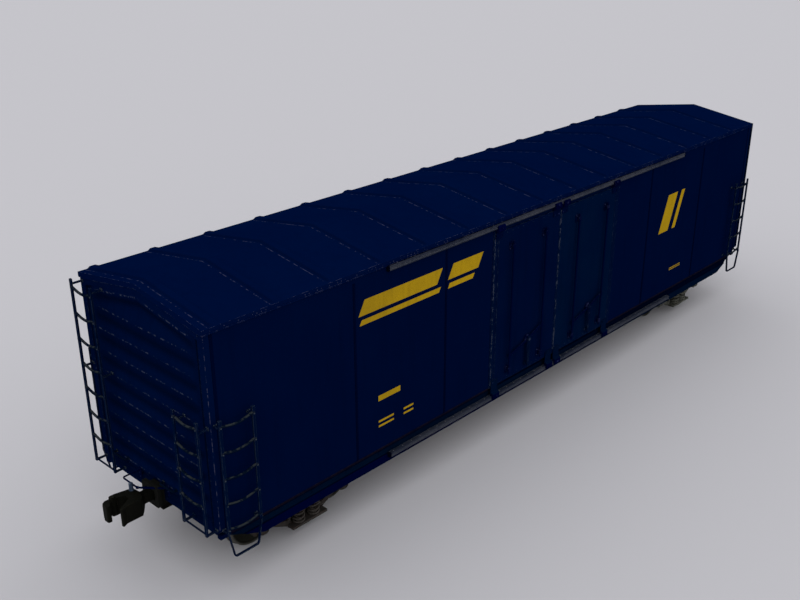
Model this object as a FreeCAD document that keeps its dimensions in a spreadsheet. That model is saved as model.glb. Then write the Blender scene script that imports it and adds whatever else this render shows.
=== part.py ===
import FreeCAD, Part
import os
import Sketcher

# A 50-foot class insulated railroad boxcar with two plug doors on each side, at real size.
# X runs along the car (end A at -X, end B at +X), Y across it (the right side at -Y) and Z up.
# The origin lies on the floor under the middle of the car, where the wheel flanges stand.
# Each side and each end is made once, and the opposite one is the same shape turned half round.

doc = FreeCAD.newDocument("boxcar")
sheet = doc.addObject("Spreadsheet::Sheet", "Sizes")

SIZES = {
    # Whole car, heights above the tread line
    "body_length": 16190.0,
    "body_width": 3120.0,
    "base_height": 1080.0,
    "side_height": 3313.0,
    "ridge_rise": 242.0,
    "wall_thick": 120.0,
    "truck_inset": 1970.0,
    # Gaps and overruns
    "seat_gap": 0.3,
    "pin_gap": 0.5,
    "running_gap": 8.0,
    "cut_over": 20.0,
    # Wheelset
    "tread_radius": 419.0,
    "flange_height": 25.0,
    "flange_thick": 33.0,
    "rim_width": 146.0,
    "rim_thick": 55.0,
    "wheel_gap": 1349.0,
    "tread_fall": 6.0,
    "plate_thick": 30.0,
    "plate_dish": 28.0,
    "hub_radius": 132.0,
    "hub_length": 178.0,
    "axle_seat_radius": 95.0,
    "axle_mid_radius": 80.0,
    "axle_taper": 120.0,
    "journal_radius": 72.0,
    "bearing_radius": 110.0,
    "bearing_length": 190.0,
    "bearing_seal_radius": 92.0,
    "bearing_seal_length": 35.0,
    "end_cap_radius": 72.0,
    "end_cap_length": 45.0,
    # Truck
    "wheelbase": 1728.0,
    "frame_spread": 2080.0,
    "frame_thick": 130.0,
    "frame_top": 700.0,
    "frame_shoulder": 615.0,
    "frame_foot": 190.0,
    "frame_shelf": 45.0,
    "frame_chord": 80.0,
    "jaw_leg": 58.0,
    "jaw_drop": 70.0,
    "jaw_soft": 14.0,
    "adapter_width": 200.0,
    "adapter_length": 190.0,
    "adapter_height": 40.0,
    "frame_soft": 40.0,
    "frame_light_soft": 26.0,
    "shelf_width": 430.0,
    "bolster_clear": 20.0,
    "spring_window": 580.0,
    "bolster_window": 440.0,
    "spring_radius": 112.0,
    "spring_wire": 30.0,
    "spring_coil_pitch": 62.0,
    "spring_seat": 26.0,
    "spring_height": 250.0,
    "spring_pitch_x": 320.0,
    "spring_pitch_y": 205.0,
    "bolster_end_depth": 150.0,
    "bolster_mid_depth": 235.0,
    "bolster_width": 400.0,
    "bolster_reach": 1190.0,
    "bolster_mid_half": 420.0,
    "bolster_soft": 25.0,
    "bowl_radius": 215.0,
    "bowl_rim": 22.0,
    "bowl_depth": 28.0,
    "side_bearing_offset": 635.0,
    "side_bearing_length": 170.0,
    "side_bearing_width": 90.0,
    "beam_thick": 70.0,
    "beam_depth": 60.0,
    "beam_inset": 505.0,
    "truss_reach": 620.0,
    "truss_tip": 60.0,
    "truss_depth": 125.0,
    "truss_thick": 22.0,
    "truss_bar": 30.0,
    "shoe_gap": 9.0,
    "shoe_thick": 40.0,
    "shoe_width": 85.0,
    "shoe_height": 260.0,
    # Underframe
    "sill_head": 115.0,
    "sill_depth": 330.0,
    "sill_width": 330.0,
    "sill_web": 15.0,
    "sill_flange": 60.0,
    "coupler_height": 1185.0,
    "floor_thick": 80.0,
    "side_sill_drop": 341.0,
    "side_sill_cut": 830.0,
    "side_sill_inset": 45.0,
    "side_sill_plate": 20.0,
    "side_sill_lip": 85.0,
    "side_sill_band": 150.0,
    "side_sill_step": 30.0,
    "side_sill_soft": 10.0,
    "body_bolster_width": 300.0,
    "body_bolster_drop": 200.0,
    "body_bolster_tip": 100.0,
    "crossbearer_width": 160.0,
    "crossbearer_web": 16.0,
    "crossbearer_flange": 14.0,
    "crossbearer_pitch": 2450.0,
    "bolster_gap": 7.0,
    "striker_reach": 150.0,
    "striker_thick": 60.0,
    "striker_width": 430.0,
    "striker_height": 360.0,
    "striker_mouth": 240.0,
    "striker_headroom": 20.0,
    "striker_soft": 45.0,
    # Side walls and doors, along the car from its middle
    "seam_1": 5315.0,
    "seam_2": 3165.0,
    "seam_3": 3505.0,
    "seam_4": 5765.0,
    "seam_width": 40.0,
    "seam_proud": 6.0,
    "door_a_edge": 1805.0,
    "door_joint": 115.0,
    "door_b_edge": 2065.0,
    "door_gap": 12.0,
    "door_proud": 22.0,
    "door_soft": 14.0,
    "door_height": 3060.0,
    "door_sill": 40.0,
    "post_width": 110.0,
    "post_proud": 12.0,
    # Ends
    "end_thick": 140.0,
    "corner_post": 130.0,
    "corner_groove": 70.0,
    "end_recess": 50.0,
    "end_cap_band": 45.0,
    "end_foot_band": 185.0,
    "end_rib_pitch": 365.0,
    "end_rib_first": 335.0,
    "end_rib_crest_width": 44.0,
    "end_rib_under": 96.0,
    "end_rib_over": 195.0,
    "end_rib_taper": 210.0,
    "end_field_soft": 40.0,
    "end_arch_fall": 130.0,
    "corner_cut": 95.0,
    "corner_soft": 28.0,
    "corner_strip": 40.0,
    "corner_strip_depth": 14.0,
    # Roof
    "roof_thick": 80.0,
    "roof_lap": 12.0,
    "roof_rib_pitch": 1072.0,
    "roof_rib_width": 190.0,
    "roof_rib_height": 48.0,
    "roof_rib_first": 220.0,
    "roof_rib_crown": 96.0,
    "roof_rib_soft": 18.0,
    # Door tracks and gear
    "track_start": 4605.0,
    "track_end": 4760.0,
    "track_depth": 60.0,
    "track_height": 85.0,
    "track_soft": 16.0,
    "upper_track_rise": 3190.0,
    "lower_track_fall": 200.0,
    "hanger_width": 190.0,
    "hanger_proud": 34.0,
    "hanger_arm": 16.0,
    "hanger_lap": 110.0,
    "hanger_lip": 26.0,
    "hanger_drop": 52.0,
    "hanger_soft": 18.0,
    "hanger_inset": 100.0,
    "hanger_shift": -75.0,
    "rod_radius": 19.0,
    "rod_standoff": 62.0,
    "rod_spacing": 1000.0,
    "gear_shift_a": -65.0,
    "gear_shift_b": 80.0,
    "rod_low": 150.0,
    "rod_top": 2830.0,
    "keeper_low": 250.0,
    "keeper_top": 2730.0,
    "keeper_width": 120.0,
    "keeper_height": 150.0,
    "keeper_plate": 14.0,
    "keeper_radius": 34.0,
    "keeper_length": 84.0,
    "keeper_soft": 20.0,
    "hub_rise": 680.0,
    "hub_offset": 90.0,
    "hub_size_radius": 85.0,
    "hub_depth": 44.0,
    "link_width": 46.0,
    "link_thick": 14.0,
    "link_fall": 170.0,
    "crank_radius": 30.0,
    "crank_length": 80.0,
    "catch_size": 60.0,
    "handle_length": 570.0,
    "handle_top": 104.0,
    "handle_foot": 58.0,
    "handle_thick": 22.0,
    "handle_soft": 18.0,
    # Ladders and steps
    "side_ladder_standoff": 150.0,
    "end_ladder_standoff": 200.0,
    "stile_width": 50.0,
    "stile_thick": 34.0,
    "rung_radius": 13.0,
    "ladder_foot": 80.0,
    "ladder_head": 150.0,
    "tall_ladder_top": 3270.0,
    "short_ladder_top": 1970.0,
    "first_rung": 150.0,
    "rung_pitch": 425.0,
    "ladder_width": 600.0,
    "ladder_edge": 45.0,
    "side_ladder_width": 630.0,
    "ladder_foot_size": 30.0,
    "step_drop": 350.0,
    "step_slant": 90.0,
    "step_bar": 16.0,
    "step_plate": 45.0,
    # Coupler, outwards from the end plane
    "coupler_pivot": 80.0,
    "shank_width": 130.0,
    "shank_height": 160.0,
    "shank_butt": 90.0,
    "shank_reach": 290.0,
    "neck_flare": 70.0,
    "head_height": 300.0,
    "head_reach": 700.0,
    "head_width": 430.0,
    "head_soft": 34.0,
    "guard_reach": 790.0,
    "guard_thick": 62.0,
    "guard_flare": 44.0,
    "throat_reach": 545.0,
    "throat_soft": 48.0,
    "lifter_radius": 30.0,
    "lifter_rise": 90.0,
    "lifter_reach": 400.0,
    "lifter_offset": 100.0,
    "knuckle_height": 280.0,
    "knuckle_reach": 900.0,
    "knuckle_hub_radius": 58.0,
    "knuckle_hub_height": 210.0,
    "knuckle_pin_radius": 20.0,
    "knuckle_pin_head": 34.0,
    "knuckle_pin_cap": 16.0,
    "knuckle_offset": 140.0,
    "knuckle_hub_reach": 700.0,
    "knuckle_nose": 75.0,
    "knuckle_nose_past": 20.0,
    "knuckle_soft": 26.0,
    # Uncoupling levers and end handholds
    "lever_radius": 14.0,
    "lever_bracket_offset": 465.0,
    "lever_rise": 300.0,
    "lever_reach": 320.0,
    "lever_bracket": 60.0,
    "lever_tip": 60.0,
    "lever_plate": 12.0,
    "brace_offset": 300.0,
    "brace_width": 40.0,
    "brace_thick": 18.0,
    "grab_left": 960.0,
    "grab_right": 350.0,
    "grab_length": 360.0,
    "grab_standoff": 70.0,
    "grab_radius": 12.0,
    # Hand brake on end B
    "brake_wheel_radius": 280.0,
    "brake_rim_radius": 17.0,
    "brake_hub_radius": 46.0,
    "brake_wheel_rise": 1650.0,
    "brake_wheel_inset": 1040.0,
    "brake_wheel_standoff": 230.0,
    "brake_case_width": 250.0,
    "brake_case_height": 300.0,
    "brake_case_depth": 150.0,
    "brake_shaft_radius": 22.0,
    "brake_case_soft": 50.0,
    "brake_rod_radius": 13.0,
    "platform_length": 760.0,
    "platform_depth": 230.0,
    "platform_thick": 30.0,
    "platform_rise": 420.0,
    "platform_leg": 60.0,
    # Brake equipment under the floor
    "reservoir_radius": 200.0,
    "reservoir_length": 1250.0,
    "cylinder_radius": 140.0,
    "cylinder_length": 560.0,
    "valve_size": 260.0,
    "tank_crown": 70.0,
    "strap_width": 60.0,
    "strap_thick": 8.0,
    "cylinder_flange": 22.0,
    "push_rod_radius": 20.0,
    "push_rod_length": 230.0,
    "equipment_hang": 60.0,
    "equipment_offset": 700.0,
}


class Size:
    """A length as a number, with the expression that binds it to the sheet."""

    def __init__(self, value, text):
        self.value = value
        self.text = text

    @staticmethod
    def of(term):
        if isinstance(term, Size):
            return term
        return Size(float(term), "(%r)" % float(term))

    def __add__(self, other):
        other = Size.of(other)
        return Size(self.value + other.value, "(%s + %s)" % (self.text, other.text))

    def __radd__(self, other):
        return Size.of(other) + self

    def __sub__(self, other):
        other = Size.of(other)
        return Size(self.value - other.value, "(%s - %s)" % (self.text, other.text))

    def __rsub__(self, other):
        return Size.of(other) - self

    def __mul__(self, other):
        other = Size.of(other)
        return Size(self.value * other.value, "(%s * %s)" % (self.text, other.text))

    def __rmul__(self, other):
        return self * other

    def __truediv__(self, other):
        other = Size.of(other)
        return Size(self.value / other.value, "(%s / %s)" % (self.text, other.text))

    def __neg__(self):
        return Size(-self.value, "(-1.0 * %s)" % self.text)


class Names:
    """Gives each cell of the sheet as a Size under its alias."""

    def __getattr__(self, alias):
        return Size(SIZES[alias], "Sizes.%s" % alias)


for row, (alias, value) in enumerate(SIZES.items(), start=1):
    sheet.set("A%d" % row, alias.replace("_", " "))
    sheet.set("B%d" % row, str(value))
    sheet.setAlias("B%d" % row, alias)
doc.recompute()

d = Names()
ZERO = Size.of(0)

# Driving places that many pieces share
half_length = d.body_length / 2
half_width = d.body_width / 2
tread_z = d.flange_height
axle_z = tread_z + d.tread_radius
base_z = tread_z + d.base_height
eave_z = base_z + d.side_height
ridge_z = eave_z + d.ridge_rise
wall_top_z = eave_z - d.roof_thick
inner_y = half_width - d.wall_thick
truck_x = half_length - d.truck_inset
coupler_z = tread_z + d.coupler_height
sill_top_z = coupler_z + d.sill_head
sill_low_z = sill_top_z - d.sill_depth
side_sill_low_z = base_z - d.side_sill_drop
frame_y = d.frame_spread / 2
end_x = -half_length
end_inner_x = end_x + d.end_thick
peak_z = ridge_z - d.roof_thick
door_face = -half_width - d.door_proud
door_low_z = base_z + d.door_sill
door_top_z = base_z + d.door_height
end_field_y = half_width - d.corner_post - d.corner_groove
first_crest_z = base_z + d.end_rib_first


def copies(span, pitch):
    """How many copies a pitch apart fit in a span, one at its start."""
    return int(round((span / pitch).value - 0.5)) + 1


def bind(item, name, size):
    """Bind one property to the expression of a size."""
    item.setExpression(name, Size.of(size).text)


def place(item, x, y, z, axis=None, angle=0.0):
    """Put an object at a bound point, turned about one axis through it."""
    if axis is not None:
        item.Placement = FreeCAD.Placement(FreeCAD.Vector(), FreeCAD.Rotation(axis, angle))
    bind(item, "Placement.Base.x", x)
    bind(item, "Placement.Base.y", y)
    bind(item, "Placement.Base.z", z)
    return item


X_AXIS = FreeCAD.Vector(1, 0, 0)
Y_AXIS = FreeCAD.Vector(0, 1, 0)
Z_AXIS = FreeCAD.Vector(0, 0, 1)


def block(name, x_span, y_span, z_span):
    """A box given by its two limits along each axis."""
    item = doc.addObject("Part::Box", name)
    bind(item, "Length", x_span[1] - x_span[0])
    bind(item, "Width", y_span[1] - y_span[0])
    bind(item, "Height", z_span[1] - z_span[0])
    return place(item, x_span[0], y_span[0], z_span[0])


def rod(name, start, axis, length, radius):
    """A round bar from a start point along +X, +Y or +Z."""
    item = doc.addObject("Part::Cylinder", name)
    bind(item, "Radius", radius)
    bind(item, "Height", length)
    if axis == "x":
        return place(item, *start, axis=Y_AXIS, angle=90)
    if axis == "y":
        return place(item, *start, axis=X_AXIS, angle=-90)
    return place(item, *start)


def outline(name, corners):
    """A closed sketch through bound corners, each held by its two distances from the origin.

    A corner is (a, b), or (a, b, radius) where it is rounded."""
    item = doc.addObject("Sketcher::SketchObject", name)
    sizes = [tuple(Size.of(term) for term in corner) for corner in corners]
    count = len(sizes)
    for index, corner in enumerate(sizes):
        after = sizes[(index + 1) % count]
        start = FreeCAD.Vector(corner[0].value, corner[1].value, 0)
        end = FreeCAD.Vector(after[0].value, after[1].value, 0)
        item.addGeometry(Part.LineSegment(start, end), False)
    for index in range(count):
        item.addConstraint(Sketcher.Constraint("Coincident", index, 2, (index + 1) % count, 1))
    held = {}
    for index, corner in enumerate(sizes):
        if len(corner) == 3:
            item.fillet(index, 1, corner[2].value, True, True)
            held[index] = item.GeometryCount - 1
    for index, corner in enumerate(sizes):
        point = held.get(index, index)
        bound = [("DistanceX", (-1, 1, point, 1), corner[0]), ("DistanceY", (-1, 1, point, 1), corner[1])]
        if index in held:
            bound.append(("Radius", (point - 1,), corner[2]))
        for kind, where, size in bound:
            number = item.addConstraint(Sketcher.Constraint(kind, *where, size.value))
            item.setExpression("Constraints[%d]" % number, size.text)
    return item


def mirrored(corners):
    """The mirror images of corners across the second axis, in the opposite order."""
    return [(-corner[0],) + tuple(corner[1:]) for corner in reversed(corners)]


def both_sides(half):
    """The corners of one half and their mirror images across the second axis."""
    return half + mirrored(half)


def prism(name, plane, points, start, depth):
    """An outline in plane xy, xz or yz, raised along the third axis from a start by a depth."""
    sketch = outline(name + "_outline", points)
    if plane == "xy":
        place(sketch, ZERO, ZERO, start)
    elif plane == "xz":
        sketch.Placement = FreeCAD.Placement(FreeCAD.Vector(), FreeCAD.Rotation(X_AXIS, 90))
        bind(sketch, "Placement.Base.y", start)
    else:
        turn = FreeCAD.Rotation(Y_AXIS, Z_AXIS, X_AXIS, "XYZ")
        sketch.Placement = FreeCAD.Placement(FreeCAD.Vector(), turn)
        bind(sketch, "Placement.Base.x", start)
    item = doc.addObject("Part::Extrusion", name)
    item.Base = sketch
    item.DirMode = "Normal"
    item.Solid = True
    item.Reversed = plane == "xz"
    bind(item, "LengthFwd", depth)
    return item


def spun(name, points):
    """A profile of (place along Y, radius) points, turned once round the Y axis."""
    sketch = outline(name + "_outline", points)
    sketch.Placement = FreeCAD.Placement(FreeCAD.Vector(), FreeCAD.Rotation(Y_AXIS, Z_AXIS, X_AXIS, "XYZ"))
    return revolved(name, sketch, Y_AXIS)


def lathed(name, points):
    """A profile of (place along X, radius) points, turned once round the X axis."""
    sketch = outline(name + "_outline", points)
    sketch.Placement = FreeCAD.Placement(FreeCAD.Vector(), FreeCAD.Rotation(X_AXIS, 90))
    return revolved(name, sketch, X_AXIS)


def upright(name, points):
    """A profile of (radius, height) points, turned once round the Z axis."""
    sketch = outline(name + "_outline", points)
    sketch.Placement = FreeCAD.Placement(FreeCAD.Vector(), FreeCAD.Rotation(X_AXIS, 90))
    return revolved(name, sketch, Z_AXIS)


def revolved(name, sketch, axis):
    """A full turn of a sketch about an axis through the origin."""
    item = doc.addObject("Part::Revolution", name)
    item.Source = sketch
    item.Axis = axis
    item.Angle = 360
    item.Solid = True
    return item


def slanted(name, sketch, run):
    """A sketch carried straight along a bound vector."""
    item = doc.addObject("Part::Extrusion", name)
    item.Base = sketch
    item.DirMode = "Custom"
    item.Solid = True
    for axis, size in zip("xyz", run):
        bind(item, "Dir." + axis, size)
    return item


def lofted(name, plane_x, low, high_x, high):
    """A solid between two outlines of as many corners, each in a plane across X."""
    sections = []
    for tag, x, corners in (("base", plane_x, low), ("crest", high_x, high)):
        sketch = outline("%s_%s" % (name, tag), corners)
        turn = FreeCAD.Rotation(Y_AXIS, Z_AXIS, X_AXIS, "XYZ")
        sketch.Placement = FreeCAD.Placement(FreeCAD.Vector(), turn)
        bind(sketch, "Placement.Base.x", x)
        sections.append(sketch)
    item = doc.addObject("Part::Loft", name)
    item.Sections = sections
    item.Solid = True
    item.Ruled = True
    return item


def fused(name, items):
    """One solid made of items that meet."""
    item = doc.addObject("Part::MultiFuse", name)
    item.Shapes = items
    item.Refine = True
    return item


def shared(name, base, tool):
    """The solid that two items have in common."""
    item = doc.addObject("Part::Common", name)
    item.Base = base
    item.Tool = tool
    item.Refine = True
    return item


def cut(name, base, tools):
    """A solid with tools taken out of it."""
    item = doc.addObject("Part::Cut", name)
    item.Base = base
    item.Tool = tools[0] if len(tools) == 1 else fused(name + "_tools", tools)
    item.Refine = True
    return item


def group(name, items):
    """Several solids kept apart in one object."""
    item = doc.addObject("Part::Compound", name)
    item.Links = items
    return item


def moved(name, item, x, y, z, angle=0.0):
    """The same shape again, turned about Z and moved."""
    return place(group(name, [item]), x, y, z, axis=Z_AXIS, angle=angle)


def turned(name, item):
    """The same shape again, turned half round about the car's middle."""
    return moved(name, item, ZERO, ZERO, ZERO, angle=180)


nodes = []


def node(label, item):
    """Name a finished piece, which becomes a file of its own."""
    item.Label = label
    nodes.append(item)
    return item


def wheelset():
    """An axle with two wheels, a bearing and an end cap on each journal, lying on its own centre."""
    wheel_mid = d.wheel_gap / 2 + d.rim_width / 2
    wheel_back = d.wheel_gap / 2
    wheel_face = wheel_back + d.rim_width
    hub_back = wheel_mid - d.hub_length / 2
    hub_face = wheel_mid + d.hub_length / 2
    tread = d.tread_radius
    rim_in = tread - d.rim_thick
    plate_back = wheel_mid - d.plate_thick / 2
    plate_face = wheel_mid + d.plate_thick / 2
    wheel = spun("wheel", [
        (hub_back, d.axle_mid_radius),
        (hub_back, d.hub_radius),
        (plate_back - d.plate_dish, d.hub_radius + d.plate_dish),
        (plate_back + d.plate_dish, rim_in - d.plate_dish),
        (wheel_back, rim_in),
        (wheel_back, tread + d.flange_height - d.tread_fall),
        (wheel_back + d.flange_thick / 4, tread + d.flange_height),
        (wheel_back + d.flange_thick / 2, tread + d.flange_height),
        (wheel_back + d.flange_thick, tread),
        (wheel_face, tread - d.tread_fall),
        (wheel_face, rim_in),
        (plate_face + d.plate_dish, rim_in - d.plate_dish),
        (plate_face - d.plate_dish, d.hub_radius + d.plate_dish),
        (hub_face, d.hub_radius),
        (hub_face, d.axle_mid_radius),
    ])
    other = moved("wheel_other", wheel, ZERO, ZERO, ZERO, angle=180)
    bearing_in = frame_y - d.bearing_length / 2
    bearing_out = frame_y + d.bearing_length / 2
    seat_in = hub_back - d.axle_taper
    half = [
        (ZERO, d.axle_mid_radius),
        (seat_in, d.axle_mid_radius),
        (hub_back, d.axle_seat_radius),
        (hub_face, d.axle_seat_radius),
        (hub_face + d.end_cap_length / 2, d.journal_radius),
        (bearing_in - d.bearing_seal_length, d.journal_radius),
        (bearing_in - d.bearing_seal_length, d.bearing_seal_radius),
        (bearing_in, d.bearing_seal_radius),
        (bearing_in, d.bearing_radius),
        (bearing_out, d.bearing_radius),
        (bearing_out, d.end_cap_radius),
        (bearing_out + d.end_cap_length, d.end_cap_radius),
    ]
    mirror = [(-y, r) for y, r in reversed(half[1:])]
    last = bearing_out + d.end_cap_length
    axle = spun("axle", mirror + half + [(last, ZERO), (-last, ZERO)])
    whole = fused("wheelset", [axle, wheel, other])
    names = ("a1", "a2", "b1", "b2")
    for index, name in enumerate(names):
        side = -1 if index < 2 else 1
        fore = -1 if index % 2 == 0 else 1
        at = side * truck_x + fore * d.wheelbase / 2
        node("wheelset_" + name, moved("wheelset_at_" + name, whole, at, ZERO, axle_z))


def side_frame():
    """A cast side frame with pedestal jaws, bearing adapters, side lights and a spring window."""
    axle_x = d.wheelbase / 2
    jaw_half = d.bearing_radius + d.running_gap
    jaw_top = axle_z + d.bearing_radius + d.pin_gap
    leg_out = axle_x + jaw_half + d.jaw_leg
    leg_in = axle_x - jaw_half - d.jaw_leg
    top = tread_z + d.frame_top
    shoulder = tread_z + d.frame_shoulder
    foot = tread_z + d.frame_foot
    low = axle_z - d.jaw_drop
    shelf_half = d.spring_window / 2
    chord = d.frame_chord
    plate = prism("side_frame_plate", "xz", both_sides([
        (shelf_half + chord, top, d.frame_soft),
        (leg_in, shoulder + chord / 4, d.frame_soft),
        (leg_out, shoulder, d.frame_soft),
        (leg_out, low, d.jaw_soft),
        (axle_x + jaw_half, low, d.jaw_soft),
        (axle_x + jaw_half, jaw_top),
        (axle_x - jaw_half, jaw_top),
        (axle_x - jaw_half, low, d.jaw_soft),
        (leg_in, low, d.frame_soft),
        (shelf_half + chord, foot, d.frame_soft),
    ]), frame_y - d.frame_thick / 2, d.frame_thick)
    column_in = d.bolster_window / 2 + d.running_gap
    column_out = shelf_half + chord * 3 / 4
    step_z = foot + d.frame_shelf + d.spring_height + d.spring_seat + d.running_gap
    window = prism("side_frame_window", "xz", both_sides([
        (column_in, top - chord * 3 / 4, d.jaw_soft),
        (column_in, step_z),
        (shelf_half, step_z, d.jaw_soft),
        (shelf_half, foot + d.frame_shelf),
    ]), frame_y - d.frame_thick, d.frame_thick * 2)
    light = [
        (column_out, top - chord, d.frame_light_soft),
        (leg_in - chord / 4, shoulder - chord * 2 / 3, d.frame_light_soft),
        (leg_in - chord / 4, low + chord * 3 / 4, d.frame_light_soft),
        (column_out, foot + chord * 5 / 4, d.frame_light_soft),
    ]
    lights = [
        prism("side_frame_light_1", "xz", light, frame_y - d.frame_thick, d.frame_thick * 2),
        prism("side_frame_light_2", "xz", mirrored(light), frame_y - d.frame_thick, d.frame_thick * 2),
    ]
    open_plate = cut("side_frame_open", plate, [window] + lights)
    shelf = block(
        "side_frame_shelf",
        (-shelf_half - chord, shelf_half + chord),
        (frame_y - d.shelf_width / 2, frame_y + d.shelf_width / 2),
        (foot, foot + d.frame_shelf),
    )
    adapters = []
    for index, side in enumerate((-1, 1)):
        x = side * axle_x
        adapters.append(block(
            "bearing_adapter_%d" % index,
            (x - d.adapter_width / 2, x + d.adapter_width / 2),
            (frame_y - d.adapter_length / 2, frame_y + d.adapter_length / 2),
            (jaw_top, jaw_top + d.adapter_height),
        ))
    return fused("side_frame", [open_plate, shelf] + adapters)


def spring_nest():
    """Four coil springs on the shelf of a side frame, each a solid with a groove between its turns."""
    foot = tread_z + d.frame_foot + d.frame_shelf
    turns = copies(d.spring_height, d.spring_coil_pitch) - 1
    pitch = d.spring_height / turns
    root = d.spring_radius - d.spring_wire
    profile = [(ZERO, foot), (root, foot)]
    for turn in range(turns):
        profile.append((d.spring_radius, foot + pitch * (turn + 0.5)))
        profile.append((root, foot + pitch * (turn + 1)))
    profile.append((ZERO, foot + d.spring_height))
    coil = upright("spring_coil", profile)
    coils = []
    for index in range(4):
        x = d.spring_pitch_x / 2 * (1 if index % 2 else -1)
        y = frame_y + d.spring_pitch_y / 2 * (1 if index < 2 else -1)
        coils.append(moved("spring_%d" % index, coil, x, y, ZERO))
    return coils


def truck_bolster():
    """The cross member of a truck, with spring seats at its ends, its bowl and its side bearings."""
    end_low = tread_z + d.frame_foot + d.frame_shelf + d.spring_height
    end_top = end_low + d.bolster_end_depth
    mid_low = end_top - d.bolster_mid_depth
    slope_end = frame_y - d.shelf_width / 2 - d.running_gap
    beam = prism("truck_bolster_beam", "yz", both_sides([
        (d.bolster_reach, end_top, d.bolster_soft),
        (d.bolster_reach, end_low),
        (slope_end, end_low),
        (d.bolster_mid_half, mid_low, d.bolster_soft),
    ]), -d.bolster_width / 2, d.bolster_width)
    bowl = upright("truck_bowl", [
        (ZERO, end_top - d.bowl_depth),
        (d.bowl_radius, end_top - d.bowl_depth),
        (d.bowl_radius, end_top + d.bowl_depth),
        (d.bowl_radius - d.bowl_rim, end_top + d.bowl_depth),
        (d.bowl_radius - d.bowl_rim, end_top + d.bowl_depth / 2),
        (ZERO, end_top + d.bowl_depth / 2),
    ])
    seat_half = d.spring_window / 2 - d.bolster_clear
    pieces = [beam, bowl]
    for index, side in enumerate((-1, 1)):
        y = side * d.side_bearing_offset
        pieces.append(block(
            "truck_side_bearing_%d" % index,
            (-d.side_bearing_length / 2, d.side_bearing_length / 2),
            (y - d.side_bearing_width / 2, y + d.side_bearing_width / 2),
            (end_top, end_top + d.bowl_depth),
        ))
        pieces.append(block(
            "truck_spring_seat_%d" % index,
            (-seat_half, seat_half),
            (side * frame_y - d.shelf_width / 2, side * frame_y + d.shelf_width / 2),
            (end_low, end_low + d.spring_seat),
        ))
    return fused("truck_bolster", pieces)


def brake_beams():
    """Two trussed brake beams with a shoe before each wheel."""
    beam_x = d.wheelbase / 2 - d.beam_inset
    back_x = beam_x - d.beam_thick / 2
    tip_x = back_x - d.truss_depth
    beam_z = axle_z - d.beam_depth
    reach = frame_y - d.frame_thick / 2
    shoe_y = d.wheel_gap / 2 + d.flange_thick + d.shoe_gap
    bar = d.truss_bar
    truss = prism("brake_beam_truss", "xy", [
        (beam_x, d.truss_reach),
        (tip_x, d.truss_tip),
        (tip_x, -d.truss_tip),
        (beam_x, -d.truss_reach),
        (beam_x, -d.truss_reach + bar * 3),
        (tip_x + bar, -d.truss_tip + bar / 2),
        (tip_x + bar, d.truss_tip - bar / 2),
        (beam_x, d.truss_reach - bar * 3),
    ], beam_z - d.truss_thick / 2, d.truss_thick)
    strut = block("brake_beam_strut", (tip_x, beam_x), (-bar / 2, bar / 2),
                  (beam_z - d.truss_thick / 2, beam_z + d.truss_thick / 2))
    beam = block(
        "brake_beam_bar",
        (back_x, beam_x + d.beam_thick / 2),
        (-reach, reach),
        (beam_z - d.beam_depth / 2, beam_z + d.beam_depth / 2),
    )
    pieces = [truss, strut, beam]
    for index, side in enumerate((-1, 1)):
        low_y = shoe_y if side > 0 else -shoe_y - d.shoe_width
        shoe_block = block(
            "brake_shoe_block_%d" % index,
            (back_x, beam_x + d.beam_thick / 2 + d.shoe_thick * 2),
            (low_y, low_y + d.shoe_width),
            (axle_z - d.shoe_height / 2, axle_z + d.shoe_height / 2),
        )
        tread = rod(
            "brake_shoe_tread_%d" % index,
            (d.wheelbase / 2, low_y - d.cut_over, axle_z),
            "y",
            d.shoe_width + d.cut_over * 2,
            d.tread_radius + d.shoe_gap,
        )
        back = rod(
            "brake_shoe_back_%d" % index,
            (d.wheelbase / 2, low_y - d.cut_over, axle_z),
            "y",
            d.shoe_width + d.cut_over * 2,
            d.tread_radius + d.shoe_gap + d.shoe_thick + d.beam_thick,
        )
        curved = cut("brake_shoe_curved_%d" % index, shoe_block, [tread])
        pieces.append(shared("brake_shoe_%d" % index, curved, back))
    one = fused("brake_beam", pieces)
    return [one, moved("brake_beam_other", one, ZERO, ZERO, ZERO, angle=180)]


def trucks():
    """The two trucks, the same made once and put under each end."""
    frame = side_frame()
    other = moved("side_frame_other", frame, ZERO, ZERO, ZERO, angle=180)
    frames = group("truck_side_frames", [frame, other])
    coils = spring_nest()
    springs = group(
        "truck_springs",
        coils + [moved("spring_other_%d" % i, c, ZERO, ZERO, ZERO, angle=180) for i, c in enumerate(coils)],
    )
    bolster = truck_bolster()
    beams = group("truck_brake_beams", brake_beams())
    for end, x in (("a", -truck_x), ("b", truck_x)):
        node("truck_%s_bolster" % end, moved("bolster_at_" + end, bolster, x, ZERO, ZERO))
        node("truck_%s_side_frames" % end, moved("frames_at_" + end, frames, x, ZERO, ZERO))
        node("truck_%s_springs" % end, moved("springs_at_" + end, springs, x, ZERO, ZERO))
        node("truck_%s_brake_beams" % end, moved("beams_at_" + end, beams, x, ZERO, ZERO))


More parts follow.
